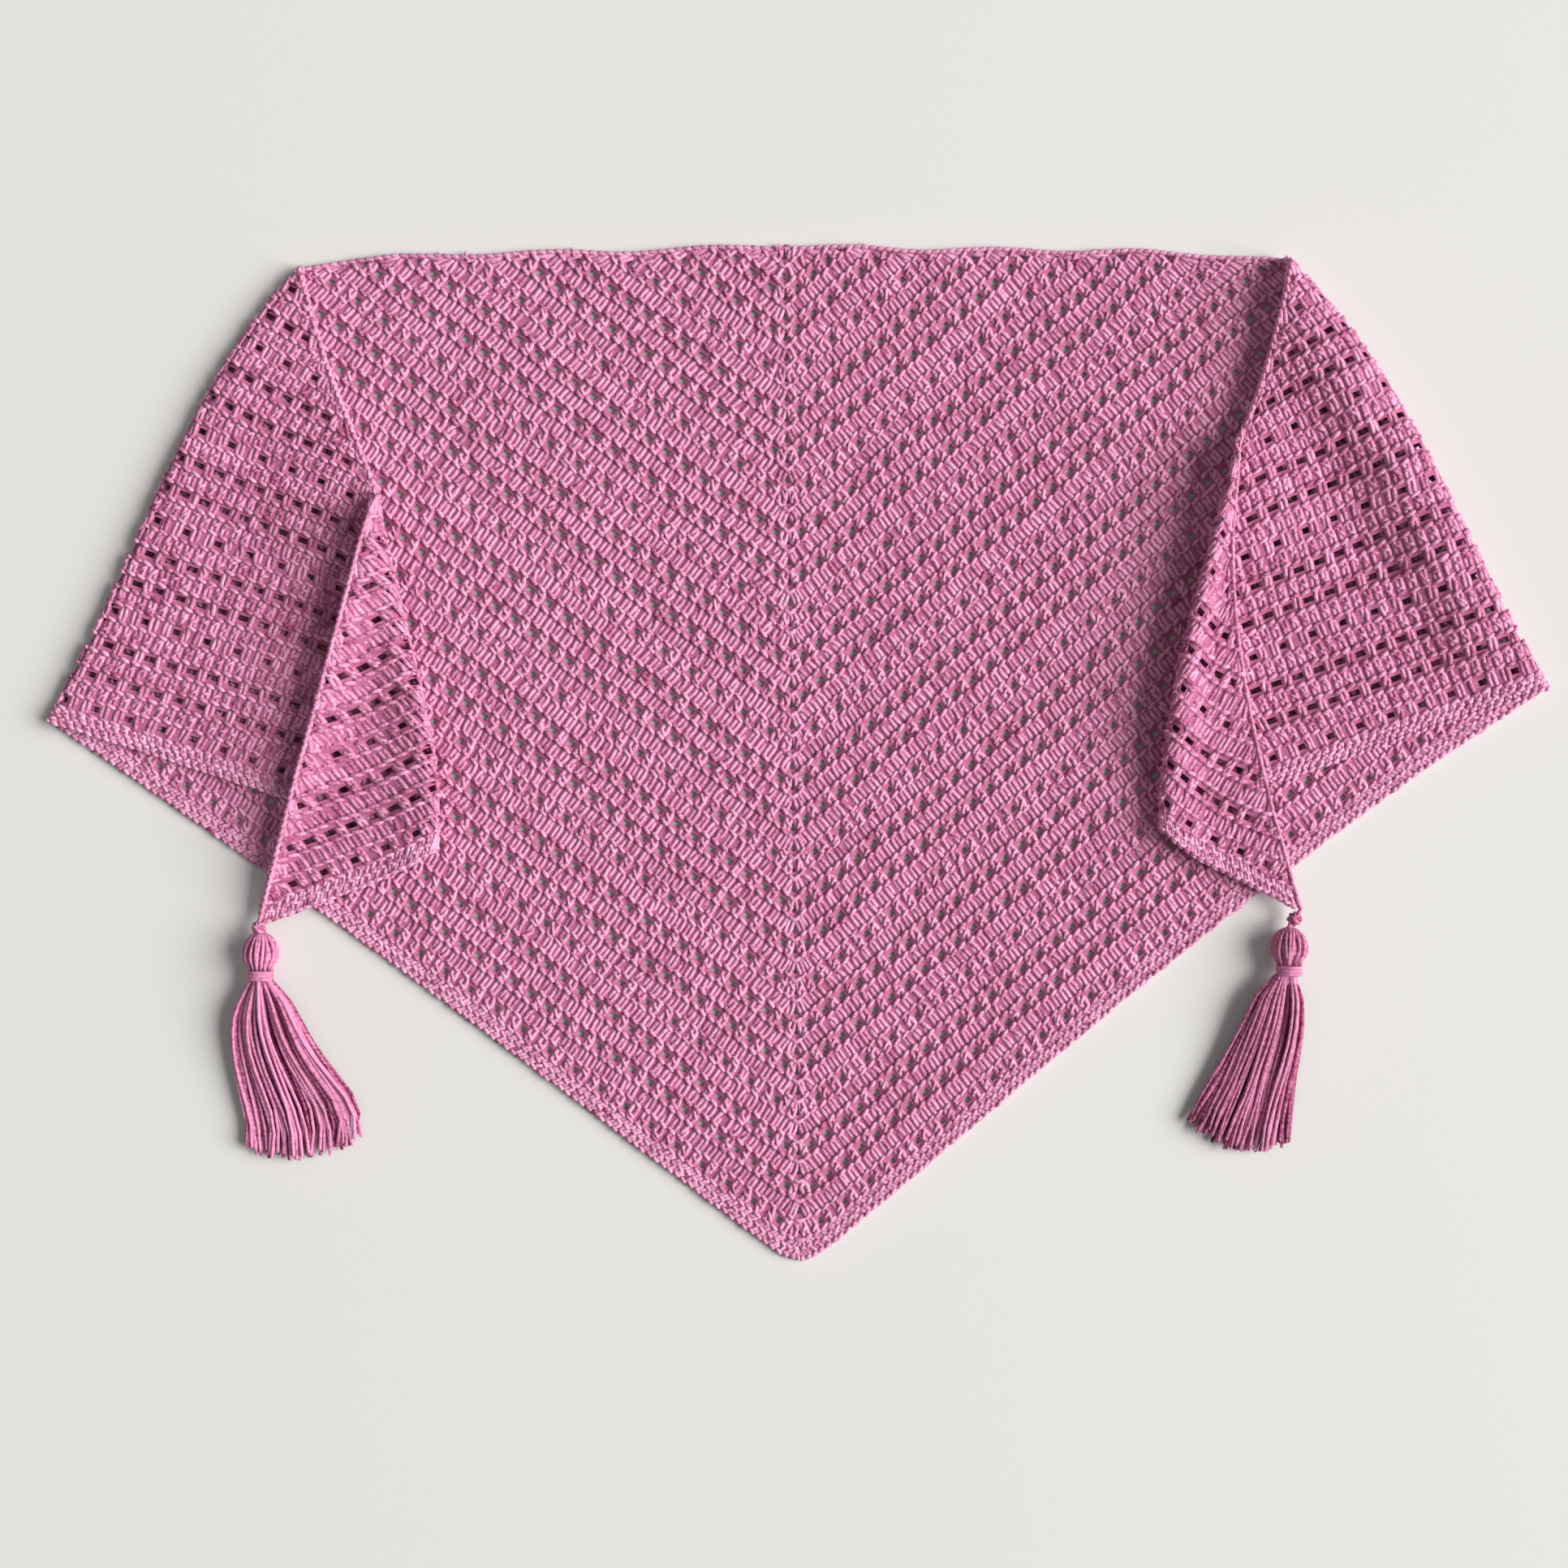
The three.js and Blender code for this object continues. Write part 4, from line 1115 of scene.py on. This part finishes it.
class OBJECT_OT_shawl_tassels(bpy.types.Operator):
    """Both tassels: head, neck binding, loose skirt and the cord that holds them"""

    bl_idname = "object.shawl_tassels"
    bl_label = "Tassels"

    def execute(self, context):
        s, c = sizes(), colours()
        radius = s.strand / MM
        material = yarn_material(
            "tassel_yarn", c.tassel, c.tassel_deep, TASSEL_PLY_TURNS, roughness=0.85, spread=0.7
        )
        for name, side in SIDES.items():
            tassel = side["tassel"]
            shade = tassel["shade"]
            rng = np.random.default_rng(tassel["seed"])
            head = np.array([*np.subtract(tassel["head"], CAD_CENTRE), HEAD_HEIGHT])
            paths, tone = tassel_strands(tassel, s.strands, radius, rng)
            obj = tassel_piece(name + "_skirt", material, (paths, radius, tone))
            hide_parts(name + "_tassel")
            paths = head_strands(head, rng)
            cover = (paths, radius, 1 + shade + rng.normal(0, 0.15, len(paths)))
            core = (np.array([[head + (0, y, 0) for y in CORE_UP]]), CORE_SIZE, np.array([0.8]), 14)
            tassel_piece(name + "_head", material, cover, core)
            rounds = (binding_rounds(head), WRAP_YARN, 1 + rng.normal(0, 0.06, WRAPS))
            obj = tassel_piece(name + "_binding", material, rounds)
            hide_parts(name + "_neck_tie")
            # The cord runs from the cloth's end through a knot, half way, to the head.
            stretch = the_cloth().halves[side["outward"]][2]
            end, corner = stretch.lay(np.array(CORD_ENDS), np.array([0.5, 0.5]))
            top = head + CORD_TOP
            middle = (corner + top) / 2
            way = np.array([end, corner, middle, top, head + CORD_FOOT])
            cords = (rested(cord_lines(way)), CORD_YARN, np.array([1.0, 0.95, 1.05]))
            knot_tone = np.array([0.75, 0.9, 0.7, 0.85]) + shade
            knot = (rested(knot_rounds(middle)), KNOT_YARN, knot_tone)
            obj = tassel_piece(name + "_cord", material, cords, knot)
            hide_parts(name + "_hanger")
        return {"FINISHED"}


FLOOR_SIZE = 14
WORLD_COLOUR, WORLD_STRENGTH = (1.0, 0.99, 0.98, 1), 0.17
CAMERA_PLACE, CAMERA_LENS, CAMERA_SENSOR = (-0.0095, -0.0220, 1.6), 53.4, 36.0
# Each light faces the origin: its name, place, energy, size and colour.
LIGHTS = (
    ("key", (23.1, -0.8, 15.8), 13250, 21.0, (1.0, 0.985, 0.965)),
    ("fill", (-1.6, 0.6, 2.6), 5, 2.4, (0.97, 0.985, 1.0)),
)


class OBJECT_OT_shawl_stage(bpy.types.Operator):
    """Floor, lights and camera"""

    bl_idname = "object.shawl_stage"
    bl_label = "Stage"

    def execute(self, context):
        scene = context.scene
        bpy.ops.object.select_all(action="DESELECT")
        bpy.ops.mesh.primitive_plane_add(size=FLOOR_SIZE, location=(0, 0, 0))
        floor = context.object
        floor.name = "floor"
        floor.data.materials.append(plain_material("floor_paint", colours().floor, 0.6))
        world = bpy.data.worlds.new("studio")
        world.use_nodes = True
        background = world.node_tree.nodes["Background"]
        background.inputs["Color"].default_value = WORLD_COLOUR
        background.inputs["Strength"].default_value = WORLD_STRENGTH
        scene.world = world
        for name, place, energy, size, tint in LIGHTS:
            light = bpy.data.lights.new(name, "AREA")
            light.energy, light.size, light.color = energy, size, tint
            lamp = bpy.data.objects.new(name, light)
            scene.collection.objects.link(lamp)
            lamp.location = place
            lamp.rotation_euler = (-Vector(place)).to_track_quat("-Z", "Y").to_euler()
        lens = bpy.data.cameras.new("camera")
        lens.lens, lens.sensor_width = CAMERA_LENS, CAMERA_SENSOR
        camera = bpy.data.objects.new("camera", lens)
        scene.collection.objects.link(camera)
        camera.location = CAMERA_PLACE
        scene.camera = camera
        scene.view_settings.view_transform = "Standard"
        return {"FINISHED"}


class VIEW3D_PT_shawl(bpy.types.Panel):
    """Lists the shawl's parts and sizes"""

    bl_label = "Shawl"
    bl_space_type = "VIEW_3D"
    bl_region_type = "UI"
    bl_category = "Shawl"

    def draw(self, context):
        for group in (context.scene.shawl_sizes, context.scene.shawl_colours):
            for key in group.__annotations__:
                self.layout.prop(group, key)
        for operator in OPERATORS:
            self.layout.operator(operator.bl_idname)


OPERATORS = (
    OBJECT_OT_shawl_stitches,
    OBJECT_OT_shawl_spine,
    OBJECT_OT_shawl_edging,
    OBJECT_OT_shawl_ground,
    OBJECT_OT_shawl_tassels,
    OBJECT_OT_shawl_stage,
)
CLASSES = (ShawlSizes, ShawlColours, *OPERATORS, VIEW3D_PT_shawl)


def register():
    for item in CLASSES:
        bpy.utils.register_class(item)
    bpy.types.Scene.shawl_sizes = PointerProperty(type=ShawlSizes)
    bpy.types.Scene.shawl_colours = PointerProperty(type=ShawlColours)


def unregister():
    del bpy.types.Scene.shawl_colours
    del bpy.types.Scene.shawl_sizes
    for item in reversed(CLASSES):
        bpy.utils.unregister_class(item)


def main():
    register()
    bpy.ops.object.shawl_stitches()
    bpy.ops.object.shawl_spine()
    bpy.ops.object.shawl_edging()
    bpy.ops.object.shawl_ground()
    bpy.ops.object.shawl_tassels()
    bpy.ops.object.shawl_stage()


if __name__ == "__main__":
    main()
